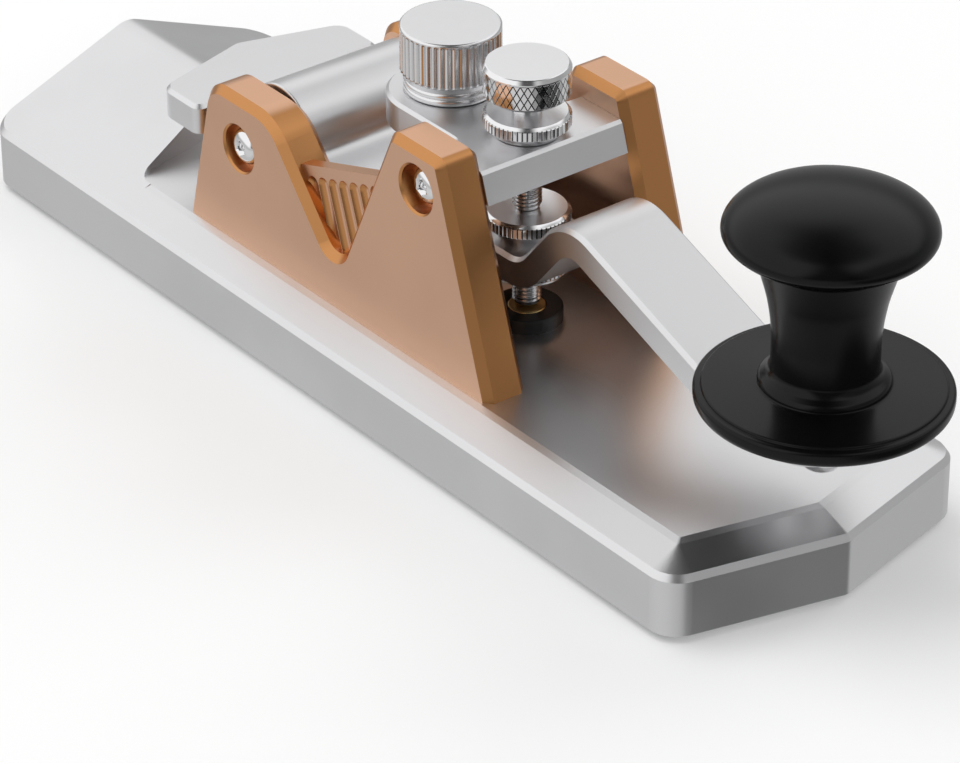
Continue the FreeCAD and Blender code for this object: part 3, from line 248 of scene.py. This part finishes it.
def moulded(name, colour, roughness, grain=2.5, depth=0.002, gloss=0.5):
    """Moulded or lacquered surface with a fine even grain."""
    finish = Finish(name, Metallic=0.0, Specular_IOR_Level=gloss)
    cloud = finish.noise(0.12, 3.0).ramp(0.3, 0.7)
    finish.feed("Base Color", cloud.blend(tint(colour, 0.85), tint(colour, 1.15)))
    pores = finish.noise(grain, 4.0)
    finish.feed("Roughness", roughness + 0.05 * cloud + 0.06 * pores)
    finish.bump(pores, depth)
    return finish.material


# ---------------------------------------------------------------- modelling helpers
PITCH = 0.5 * MM
THREAD_STEPS = 32


def deselect():
    """Leaves edit mode and selects nothing."""
    if bpy.context.object and bpy.context.object.mode == "EDIT":
        bpy.ops.object.mode_set(mode="OBJECT")
    bpy.ops.object.select_all(action="DESELECT")


def pick(kind, test):
    """In edit mode, selects what passes the test.

    The test is given a vertex's place, an edge's two ends, or a face's middle and normal.
    """
    bpy.ops.mesh.select_mode(type=kind)
    bpy.ops.mesh.select_all(action="DESELECT")
    bpy.ops.object.mode_set(mode="OBJECT")
    piece = bpy.context.object
    mesh = piece.data
    corners = [piece.matrix_world @ v.co for v in mesh.vertices]
    if kind == "VERT":
        for vertex in mesh.vertices:
            vertex.select = test(corners[vertex.index])
    elif kind == "EDGE":
        for edge in mesh.edges:
            edge.select = test(corners[edge.vertices[0]], corners[edge.vertices[1]])
    else:
        for face in mesh.polygons:
            around = [corners[i] for i in face.vertices]
            middle = sum(around, Vector()) / len(around)
            face.select = test(middle, face.normal)
    bpy.ops.object.mode_set(mode="EDIT")


def turn(name, axis, profile, segments):
    """A closed turned piece: a disc at the first (radius, height) is extruded through the rest."""
    deselect()
    x, y = axis
    radius, height = profile[0]
    bpy.ops.mesh.primitive_circle_add(
        vertices=segments, radius=radius, fill_type="NGON", location=(x, y, height))
    piece = bpy.context.object
    piece.name = name
    piece.data.name = name
    bpy.ops.object.mode_set(mode="EDIT")
    bpy.ops.mesh.select_all(action="SELECT")
    for next_radius, next_height in profile[1:]:
        bpy.ops.mesh.extrude_region_move(
            TRANSFORM_OT_translate={"value": (0, 0, next_height - height)})
        scale = next_radius / radius
        if abs(scale - 1) > 1e-6:
            bpy.ops.transform.resize(value=(scale, scale, 1), center_override=(x, y, next_height))
        radius, height = next_radius, next_height
    return piece


def soften(axis, rounds):
    """Bevels the rings of edges at the given (radius, height, rounding, segments)."""
    x, y = axis
    for radius, height, rounding, segments in rounds:
        def on_ring(a, b):
            return all(
                abs(math.hypot(p.x - x, p.y - y) - radius) < 0.02 * MM
                and abs(p.z - height) < 0.01 * MM for p in (a, b))
        pick("EDGE", on_ring)
        bpy.ops.mesh.bevel(offset=rounding, segments=segments, affect="EDGES")


def finished(piece, body, material, stands_for=(), angle=30.0):
    """Settles a new piece in place and joins it to its body."""
    if piece.mode == "EDIT":
        bpy.ops.mesh.select_all(action="SELECT")
        bpy.ops.mesh.remove_doubles(threshold=MERGE)
        bpy.ops.mesh.normals_make_consistent(inside=False)
        bpy.ops.object.mode_set(mode="OBJECT")
    deselect()
    piece.select_set(True)
    bpy.context.view_layer.objects.active = piece
    bpy.ops.object.transform_apply(location=True, rotation=True, scale=True)
    bpy.ops.object.shade_smooth_by_angle(angle=math.radians(angle))
    piece.data.materials.clear()
    piece.data.materials.append(material)
    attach(piece, body)
    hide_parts(*stands_for)
    deselect()


def above(seat, profile):
    """A profile in millimetres over a seat, in metres."""
    return [(radius * MM, seat + height * MM) for radius, height in profile]


def middle_of(node):
    """(x, y) of a node's axis, for a node that is round about a vertical axis."""
    low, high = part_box(node)
    return ((low.x + high.x) / 2, (low.y + high.y) / 2)


def join(first, *others):
    """Joins finished shells into the first."""
    deselect()
    for piece in (first, *others):
        piece.select_set(True)
    bpy.context.view_layer.objects.active = first
    bpy.ops.object.join()
    return first


def thread(name, axis, low, high, crest, depth):
    """A closed helical ridge between two heights, which stands on a core."""
    deselect()
    x, y = axis
    root = crest - depth - 0.05 * MM
    flank = 0.03 * MM
    bpy.ops.mesh.primitive_circle_add(vertices=3, radius=PITCH / 2, fill_type="NOTHING")
    ridge = bpy.context.object
    ridge.name = name
    corners = [(root, flank), (crest, PITCH / 2), (root, PITCH - flank)]
    for vertex, (radius, height) in zip(ridge.data.vertices, corners):
        vertex.co = (radius, 0, height)
    screw = ridge.modifiers.new("Thread", "SCREW")
    screw.axis = "Z"
    screw.angle = 2 * math.pi
    screw.screw_offset = PITCH
    screw.iterations = max(1, int((high - low) / PITCH) - 1)
    screw.steps = THREAD_STEPS
    screw.render_steps = THREAD_STEPS
    screw.use_merge_vertices = True
    screw.merge_threshold = MERGE
    bpy.ops.object.modifier_apply(modifier=screw.name)
    bpy.ops.object.mode_set(mode="EDIT")
    bpy.ops.mesh.select_mode(type="EDGE")
    bpy.ops.mesh.select_all(action="DESELECT")
    bpy.ops.mesh.select_non_manifold()
    bpy.ops.mesh.fill()
    bpy.ops.mesh.select_all(action="SELECT")
    bpy.ops.mesh.normals_make_consistent(inside=False)
    bpy.ops.object.mode_set(mode="OBJECT")
    ridge.location = (x, y, low)
    bpy.ops.object.transform_apply(location=True)
    return ridge


BAR_INSET = 0.12 * MM


def straight_knurl(low, high, depth):
    """Raises every face of the band between two heights into a bar."""
    def in_band(middle, normal):
        return low < middle.z < high and abs(normal.z) < 0.2

    pick("FACE", in_band)
    bpy.ops.mesh.inset(thickness=BAR_INSET, depth=depth, use_individual=True)


# ---------------------------------------------------------------- sizes and colours
class KeySizes(bpy.types.PropertyGroup):
    """Sizes of the turned details."""

    flutes: bpy.props.IntProperty(
        name="Flutes", description="Flutes round the tension knob", default=44, min=12)
    flute_depth: bpy.props.FloatProperty(
        name="Flute depth", description="Depth of the tension knob's flutes",
        default=0.24 * MM, unit="LENGTH")
    knurl_starts: bpy.props.IntProperty(
        name="Diamond starts", description="Diamonds round the gap knob", default=38, min=12)
    knurl_depth: bpy.props.FloatProperty(
        name="Knurl depth", description="Depth of the knurling",
        default=0.17 * MM, unit="LENGTH")
    teeth: bpy.props.IntProperty(
        name="Knurl teeth", description="Bars round each straight-knurled disc", default=56,
        min=20)
    thread_depth: bpy.props.FloatProperty(
        name="Thread depth", description="Depth of the screw threads",
        default=0.22 * MM, unit="LENGTH")


class KeyColours(bpy.types.PropertyGroup):
    """Colours of the main finishes."""

    aluminium: bpy.props.FloatVectorProperty(
        name="Aluminium", description="Base, lever and bridge", subtype="COLOR", size=4,
        default=(0.80, 0.80, 0.81, 1.0))
    # The copper face colour is the frames' anodised tone lightened by a painted sheen; the copper
    # edge colour carries no sheen.
    copper: bpy.props.FloatVectorProperty(
        name="Copper face", description="Broad faces of the side frames", subtype="COLOR",
        size=4, default=(0.80, 0.49, 0.33, 1.0))
    copper_edge: bpy.props.FloatVectorProperty(
        name="Copper edge", description="Edges and bevels of the side frames",
        subtype="COLOR", size=4, default=(0.62, 0.29, 0.11, 1.0))
    plating: bpy.props.FloatVectorProperty(
        name="Plating", description="Knobs, nuts and screws", subtype="COLOR", size=4,
        default=(0.88, 0.88, 0.89, 1.0))
    knob: bpy.props.FloatVectorProperty(
        name="Finger knob", description="Finger knob", subtype="COLOR", size=4,
        default=(0.0025, 0.0025, 0.0025, 1.0))


# ---------------------------------------------------------------- studio
CAMERA_PLACE = Vector((-287.863, -370.142, 281.879)) * MM
CAMERA_TURN = (58.7327, 0.2541, -38.0173)
CAMERA_LENS = 166.84
# Brightness of the tent's parts, and the directions along and across its dark strip
CEILING = 0.22
WALL = 0.41
GROUND = 0.54
STRIP_WAY = (-0.61, -0.79, 0.0)
STRIP_SIDE = (0.79, -0.61, 0.0)
# Name, place, size and power of each lamp
LAMPS = (
    ("key_lamp", (-0.4, 0.4, 1.1), 1.2, 6.0),
    ("side_lamp", (1.0, -0.1, 0.7), 0.9, 3.0),
    ("fill_lamp", (-0.6, -0.8, 0.6), 0.9, 2.0),
)
LAMP_TARGET = Vector((0, 0, 0.02))
AMBIENT = 0.62
FLOOR_SIZE = 12.0
TENT_RADIUS = 5.0


class KEY_OT_studio(bpy.types.Operator):
    """Camera, floor, lamps and the soft tent that the metal reflects"""

    bl_idname = "morse_key.studio"
    bl_label = "Studio"

    def execute(self, context):
        deselect()
        scene = context.scene
        scene.view_settings.view_transform = "Standard"
        bpy.ops.object.camera_add(
            location=CAMERA_PLACE, rotation=[math.radians(a) for a in CAMERA_TURN])
        camera = context.object
        camera.data.lens = CAMERA_LENS
        camera.data.clip_start = 0.05
        scene.camera = camera
        self.floor()
        self.tent()
        self.lamps()
        self.world(scene)
        return {"FINISHED"}

    def floor(self):
        """A pale matt floor, which the metal doesn't mirror."""
        bpy.ops.mesh.primitive_plane_add(size=FLOOR_SIZE, location=(0, 0, 0))
        floor = bpy.context.object
        floor.name = "floor"
        paint = Finish("floor_paint", Roughness=1.0, Specular_IOR_Level=0.0)
        cloud = paint.noise(0.002, 2.0)
        paint.feed("Base Color", cloud.blend((0.93, 0.93, 0.93, 1), (0.95, 0.95, 0.95, 1)))
        floor.data.materials.append(paint.material)
        floor.visible_glossy = False

    def tent(self):
        """What the metal mirrors: a bright band, a dark ceiling and front, and a grey ground.

        A dark strip runs from the camera's side over the ceiling.
        """
        bpy.ops.mesh.primitive_uv_sphere_add(segments=48, ring_count=24, radius=TENT_RADIUS)
        tent = bpy.context.object
        tent.name = "tent"
        glow = Finish("tent_glow")
        way = glow.node("ShaderNodeVectorMath", {"operation": "NORMALIZE"}, {0: glow.place()})
        x, y, z = way.part("x"), way.part("y"), way.part("z")
        left = 0 - x
        down = 0 - z
        front = (0.35 * x - y).ramp(0.62, 0.88)
        tilted = z - 0.3 * x
        band = tilted.ramp(0.0, 0.32) * z.ramp(0.84, 0.97, 1.0, 0.0)
        upper = CEILING + (1 - CEILING) * band * (1 - 0.82 * front)
        wall = WALL + 0.26 * left.ramp(0.2, 0.9) + 0.03 * front
        ground = (GROUND + 0.1 * left.ramp(0.55, 0.8)) * (1 - 0.88 * front)
        rising = tilted.ramp(-0.1, 0.25)
        sinking = down.ramp(0.1, 0.4)
        level = upper * rising + (1 - rising) * (wall * (1 - sinking) + ground * sinking)
        narrowing = abs(way.along(STRIP_SIDE)) + 0.4 * z
        strip = way.along(STRIP_WAY).ramp(-0.68, -0.45) * narrowing.ramp(0.38, 0.7, 1.0, 0.0)
        level = level * (1 - 0.9 * strip * z.ramp(-0.15, 0.0))
        tree = glow.tree
        light = glow.node("ShaderNodeEmission", {}, {"Color": (1, 1, 1, 1), "Strength": level})
        tree.links.new(light.socket, tree.nodes["Material Output"].inputs["Surface"])
        glow.material.cycles.emission_sampling = "NONE"
        tent.data.materials.append(glow.material)
        tent.visible_camera = False
        tent.visible_diffuse = False
        tent.visible_shadow = False
        tent.visible_transmission = False

    def lamps(self):
        """Soft round lamps, which light the floor and the matt pieces only."""
        for name, place, size, power in LAMPS:
            bpy.ops.object.light_add(type="AREA", location=place)
            lamp = bpy.context.object
            lamp.name = name
            lamp.data.shape = "DISK"
            lamp.data.size = size
            lamp.data.energy = power
            aim = LAMP_TARGET - lamp.location
            lamp.rotation_euler = aim.to_track_quat("-Z", "Y").to_euler()
            lamp.visible_glossy = False

    def world(self, scene):
        """White where it is seen or mirrored, and a grey light elsewhere."""
        world = bpy.data.worlds.new("studio_world")
        world.use_nodes = True
        scene.world = world
        tree = world.node_tree
        path = tree.nodes.new("ShaderNodeLightPath")
        shown = path.outputs["Is Camera Ray"]
        for other in ("Is Glossy Ray", "Is Transmission Ray"):
            more = tree.nodes.new("ShaderNodeMath")
            more.operation = "MAXIMUM"
            tree.links.new(shown, more.inputs[0])
            tree.links.new(path.outputs[other], more.inputs[1])
            shown = more.outputs[0]
        span = tree.nodes.new("ShaderNodeMapRange")
        span.inputs["To Min"].default_value = AMBIENT
        span.inputs["To Max"].default_value = 1.0
        tree.links.new(shown, span.inputs["Value"])
        back = tree.nodes["Background"]
        back.inputs["Color"].default_value = (1, 1, 1, 1)
        tree.links.new(span.outputs[0], back.inputs["Strength"])


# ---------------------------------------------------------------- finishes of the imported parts
class KEY_OT_finishes(bpy.types.Operator):
    """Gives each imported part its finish"""

    bl_idname = "morse_key.finishes"
    bl_label = "Finishes"

    def execute(self, context):
        recipes = self.recipes(context.scene.key_colours)
        for row in frame["record"]["subparts"]:
            slot = row["material_slot"]
            if slot not in recipes:
                raise RuntimeError(f"no finish is made for {slot}")
            if slot not in bpy.data.materials or "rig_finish" not in bpy.data.materials[slot]:
                old = bpy.data.materials.get(slot)
                if old:
                    old.name = f"packed_{slot}"
                make, *settings = recipes[slot]
                make(slot, *settings)["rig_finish"] = True
            for place in NODES[row["node"]].material_slots:
                place.material = finish_named(slot)
        return {"FINISHED"}

    def recipes(self, colours):
        """What makes each finish, its colour and its further settings."""
        return {
            "satin_aluminium": (blasted, colours.aluminium, 0.29),
            # Frames: the broad faces and tops carry a painted sheen in their colour.
            "copper_anodised": (blasted, colours.copper, 0.27, tuple(colours.copper_edge)),
            "bright_plated": (plated, colours.plating, PLATING_ROUGHNESS),
            "steel": (plated, (0.58, 0.58, 0.60, 1), 0.25),
            "bearing_steel": (plated, (0.62, 0.62, 0.64, 1), 0.12),
            "magnet_nickel": (plated, (0.70, 0.69, 0.66, 1), 0.14),
            "contact_brass": (plated, (0.72, 0.53, 0.24, 1), 0.22),
            "knob_black": (moulded, colours.knob, 0.15, 6.0, 0.0004, 0.21),
            "insulator_black": (moulded, (0.010, 0.010, 0.010, 1), 0.28),
            "cover_black": (moulded, (0.018, 0.018, 0.019, 1), 0.5, 3.0, 0.01),
            "foot_rubber": (moulded, (0.022, 0.022, 0.022, 1), 0.75, 4.0, 0.02),
            "wire_red": (moulded, (0.42, 0.015, 0.012, 1), 0.38),
            "wire_black": (moulded, (0.014, 0.014, 0.014, 1), 0.38),
        }


def finish_named(slot):
    """The finish made for a material slot."""
    return bpy.data.materials[slot]


# ---------------------------------------------------------------- turned pieces
class KEY_OT_finger_knob(bpy.types.Operator):
    """Turns the finger knob: skirt, ring, waisted neck and oval finger rest"""

    bl_idname = "morse_key.finger_knob"
    bl_label = "Finger knob"

    def execute(self, context):
        axis = middle_of("knob")
        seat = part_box("knob")[0].z
        profile = [
            (4.2, 0.0), (4.2, 2.2), (14.6, 2.2), (14.6, 4.2), (13.7, 4.2), (13.7, 4.5),
            (13.4, 4.52), (8.0, 4.87), (7.5, 4.9), (7.5, 5.5), (6.1, 6.4), (6.1, 13.4),
            (8.3, 21.1), *self.oval(),
        ]
        roundings = [
            (14.6, 2.2, 1.0, 6), (14.6, 4.2, 0.4, 4), (13.7, 4.5, 0.12, 2), (13.7, 4.2, 0.12, 2),
            (7.5, 4.9, 0.15, 3), (7.5, 5.5, 0.4, 5), (6.1, 6.4, 0.7, 5), (6.1, 13.4, 3.4, 12),
            (8.3, 21.1, 0.5, 4),
        ]
        piece = turn("finger_knob", axis, above(seat, profile), 160)
        soften(axis, [
            (radius * MM, seat + height * MM, rounding * MM, segments)
            for radius, height, rounding, segments in roundings])
        finished(piece, "lever", finish_named("knob_black"), ["knob"], 46)
        return {"FINISHED"}

    def oval(self):
        """The finger rest's (radius, height) from its underside to its crown, in millimetres."""
        radius, middle, rise, fall = 12.0, 23.85, 4.6, 3.4
        points = []
        for angle in range(-30, 89, 5):
            a = math.radians(angle)
            span = rise if angle > 0 else fall
            points.append((radius * math.cos(a), middle + span * math.sin(a)))
        return [*points, (radius * 0.012, middle + rise)]


class KEY_OT_tension_knob(bpy.types.Operator):
    """Turns the tension knob: ringed collar, fluted body and plain crowned top"""

    bl_idname = "morse_key.tension_knob"
    bl_label = "Tension knob"

    def execute(self, context):
        sizes = context.scene.key_sizes
        axis = middle_of("tension_knob")
        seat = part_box("tension_knob")[0].z
        collar, body = 5.75, 6.15
        groove = body - sizes.flute_depth / MM
        profile = [(5.5, 0.0), (collar, 0.15)]
        for middle in (0.85, 1.65):
            profile += [(collar, middle - 0.15), (5.6, middle), (collar, middle + 0.15)]
        profile += [
            (collar, 2.25), (5.9, 2.4), (body, 2.55), (body, 2.85), (body, 7.7), (body, 7.9),
            (body, 8.05), (body, 8.25), (5.95, 8.45), (5.85, 8.45), (0.05, 8.45),
        ]
        phases_each = 6
        piece = turn(
            "tension_knob_turned", axis, above(seat, profile), sizes.flutes * phases_each)
        x, y = axis
        step = 2 * math.pi / sizes.flutes
        for phases, share in (((2, 4), 0.75), ((3,), 1.0), ((1, 5), 0.3)):
            for heights, depth in (((2.85, 7.7), 1.0), ((2.55,), 0.8), ((7.9,), 0.7)):
                def in_flute(p):
                    turns = math.atan2(p.y - y, p.x - x) / step
                    phase = round((turns - math.floor(turns)) * phases_each) % phases_each
                    return phase in phases and any(
                        abs(p.z - seat - h * MM) < 0.01 * MM for h in heights)
                pick("VERT", in_flute)
                scale = 1 - (1 - groove / body) * share * depth
                bpy.ops.transform.resize(value=(scale, scale, 1), center_override=(x, y, seat))
        colour = tint(context.scene.key_colours.plating, 0.97)
        # Painted shade darkens the flute roots of the tension knob.
        satin = plated("satin_plated", colour, 0.17, 0.14, grooves=(
            axis, groove * MM, (body - 0.03) * MM, seat + 2.5 * MM, seat + 8.0 * MM, 0.75))
        finished(piece, "tension_knob", satin, ["tension_knob"], 60)
        return {"FINISHED"}


DIAMOND_INSET = 0.065 * MM


class KEY_OT_gap_knob(bpy.types.Operator):
    """Turns the gap knob and cuts its diamond knurl"""

    bl_idname = "morse_key.gap_knob"
    bl_label = "Gap knob"

    def execute(self, context):
        sizes = context.scene.key_sizes
        axis = middle_of("gap_knob")
        low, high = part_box("gap_knob")
        radius = (high.x - low.x) / 2
        root = radius - sizes.knurl_depth
        bottom, top = low.z, high.z
        foot, head = bottom + 0.35 * MM, bottom + 3.45 * MM
        rows = 2
        profile = [
            (radius - 0.45 * MM, bottom), (root - 0.05 * MM, bottom + 0.25 * MM), (root, foot),
            *((root, foot + (head - foot) * row / rows) for row in range(1, rows + 1)),
            (radius - 0.02 * MM, head + 0.04 * MM), (radius - 0.02 * MM, head + 0.2 * MM),
            (radius - 0.3 * MM, top - 0.06 * MM), (radius - 0.4 * MM, top),
            (0.05 * MM, top),
        ]
        piece = turn("gap_knob_turned", axis, profile, sizes.knurl_starts)

        def in_band(middle, normal):
            return foot < middle.z < head and abs(normal.z) < 0.1

        pick("FACE", in_band)
        bpy.ops.mesh.poke()

        def straight(a, b):
            """Upright edges of the band, and level ones between its rims."""
            if min(a.z, b.z) < foot - 0.01 * MM or max(a.z, b.z) > head + 0.01 * MM:
                return False
            if abs(a.z - b.z) < MERGE:
                return foot + 0.1 * MM < a.z < head - 0.1 * MM
            return math.hypot(a.x - b.x, a.y - b.y) < MERGE

        pick("EDGE", straight)
        bpy.ops.mesh.dissolve_edges(use_verts=False)
        pick("FACE", in_band)
        bpy.ops.mesh.inset(
            thickness=DIAMOND_INSET, depth=sizes.knurl_depth * 0.8, use_individual=True)
        colour = context.scene.key_colours.plating
        # Painted shade darkens the grooves of the diamond knurl.
        knurled = plated("diamond_plated", colour, PLATING_ROUGHNESS, grooves=(
            axis, root, root + sizes.knurl_depth * 0.7, foot, head, 0.08))
        finished(piece, "gap_knob", knurled, ["gap_knob"], 25)
        return {"FINISHED"}


class KEY_OT_knurled_discs(bpy.types.Operator):
    """Turns the straight-knurled lock nut, contact bolt and contact nut"""

    bl_idname = "morse_key.knurled_discs"
    bl_label = "Knurled discs"

    def execute(self, context):
        sizes = context.scene.key_sizes
        colour = context.scene.key_colours.plating
        edge = 0.3 * MM
        for node, body, height, slope in (
                ("gap_lock_nut", "gap_lock_nut", None, 1.1),
                ("contact_bolt", "lever", 2.9, 1.1),
                ("contact_bolt_nut", "lever", None, 0.3)):
            low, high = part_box(node)
            axis = middle_of(node)
            radius = (high.x - low.x) / 2
            top = high.z
            bottom = top - height * MM if height else low.z
            root = radius - sizes.knurl_depth
            foot = bottom + (slope + 0.05) * MM
            seat_radius = 4.0 * MM if slope > 0.5 else radius - edge
            profile = [
                (seat_radius, bottom), (root - 0.04 * MM, foot - 0.06 * MM), (root, foot),
                (root, top - edge), (root - 0.03 * MM, top - edge + 0.05 * MM),
                (root - edge, top), (0.05 * MM, top),
            ]
            piece = turn(f"{node}_turned", axis, profile, sizes.teeth)
            straight_knurl(foot, top - edge, sizes.knurl_depth * 0.95)
            if node == "contact_bolt":
                bpy.ops.object.mode_set(mode="OBJECT")
                piece = join(piece, *self.shank(axis, low.z, bottom, sizes))
            # Painted shade darkens the grooves between the knurl's bars.
            knurled = plated(f"{node}_plated", colour, PLATING_ROUGHNESS, grooves=(
                axis, root, root + sizes.knurl_depth * 0.8, foot, top - edge, 0.2))
            finished(piece, body, knurled, [node], 25)
        return {"FINISHED"}

    def shank(self, axis, low, high, sizes):
        """The contact screw's threaded shank, as a core and a ridge."""
        core_radius = STEM_RADIUS - sizes.thread_depth
        core = turn("shank_core", axis, [
            (core_radius - 0.15 * MM, low), (core_radius, low + 0.2 * MM),
            (core_radius, high + 0.2 * MM)], 48)
        bpy.ops.object.mode_set(mode="OBJECT")
        ridge = thread("shank_thread", axis, low + 0.1 * MM, high + 0.1 * MM, STEM_RADIUS,
                       sizes.thread_depth)
        return core, ridge


class KEY_OT_threaded_stems(bpy.types.Operator):
    """Turns the gap screw and the tension screw, threaded below the bridge's top"""

    bl_idname = "morse_key.threaded_stems"
    bl_label = "Threaded stems"

    def execute(self, context):
        sizes = context.scene.key_sizes
        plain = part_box("bridge")[1].z
        core = STEM_RADIUS - sizes.thread_depth
        neck = STEM_RADIUS - 0.05 * MM
        for node in ("gap_screw", "tension_screw"):
            low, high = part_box(node)
            axis = middle_of(node)
            piece = turn(f"{node}_turned", axis, [
                (core - 0.2 * MM, low.z), (core, low.z + 0.25 * MM), (core, plain),
                (neck, plain + 0.1 * MM), (neck, high.z)], 64)
            bpy.ops.object.mode_set(mode="OBJECT")
            ridge = thread(f"{node}_thread", axis, low.z + 0.1 * MM, plain, STEM_RADIUS,
                           sizes.thread_depth)
            piece = join(piece, ridge)
            finished(piece, node, finish_named("bright_plated"), [node], 25)
        return {"FINISHED"}


HEAD_HEIGHT = 1.65 * MM
HEAD_WIDENING = 1.22


class KEY_OT_side_screws(bpy.types.Operator):
    """Widens the domed heads of the screws in the side frames"""

    bl_idname = "morse_key.side_screws"
    bl_label = "Side screws"

    def execute(self, context):
        for node in ("pivot_screws", "bridge_screws"):
            low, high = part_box(node)
            middle = (low + high) / 2
            deselect()
            NODES[node].select_set(True)
            context.view_layer.objects.active = NODES[node]
            bpy.ops.object.duplicate()
            piece = context.object
            piece.name = f"{node}_domed"
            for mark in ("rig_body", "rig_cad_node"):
                del piece[mark]
            bpy.ops.object.mode_set(mode="EDIT")
            bpy.ops.mesh.select_all(action="SELECT")
            bpy.ops.mesh.remove_doubles(threshold=MERGE)
            seat = high.x - middle.x - HEAD_HEIGHT
            pick("VERT", lambda p: abs(p.x - middle.x) > seat)
            bpy.ops.transform.resize(
                value=(1, HEAD_WIDENING, HEAD_WIDENING), center_override=middle)
            finished(piece, "base", finish_named("bright_plated"), [node], 25)
        return {"FINISHED"}


# ---------------------------------------------------------------- add-on
STEPS = (
    KEY_OT_studio, KEY_OT_finishes, KEY_OT_finger_knob, KEY_OT_tension_knob, KEY_OT_gap_knob,
    KEY_OT_knurled_discs, KEY_OT_threaded_stems, KEY_OT_side_screws,
)


class KEY_PT_panel(bpy.types.Panel):
    """Steps and settings of the key"""

    bl_label = "Morse key"
    bl_space_type = "VIEW_3D"
    bl_region_type = "UI"
    bl_category = "Key"

    def draw(self, context):
        for group in (context.scene.key_sizes, context.scene.key_colours):
            for name in group.__annotations__:
                self.layout.prop(group, name)
        for step in STEPS:
            self.layout.operator(step.bl_idname)


CLASSES = (KeySizes, KeyColours, *STEPS, KEY_PT_panel)


def register():
    for cls in CLASSES:
        bpy.utils.register_class(cls)
    bpy.types.Scene.key_sizes = bpy.props.PointerProperty(type=KeySizes)
    bpy.types.Scene.key_colours = bpy.props.PointerProperty(type=KeyColours)


def unregister():
    del bpy.types.Scene.key_colours
    del bpy.types.Scene.key_sizes
    for cls in reversed(CLASSES):
        bpy.utils.unregister_class(cls)


def main():
    register()
    for step in STEPS:
        group, name = step.bl_idname.split(".")
        getattr(getattr(bpy.ops, group), name)()


if __name__ == "__main__":
    main()
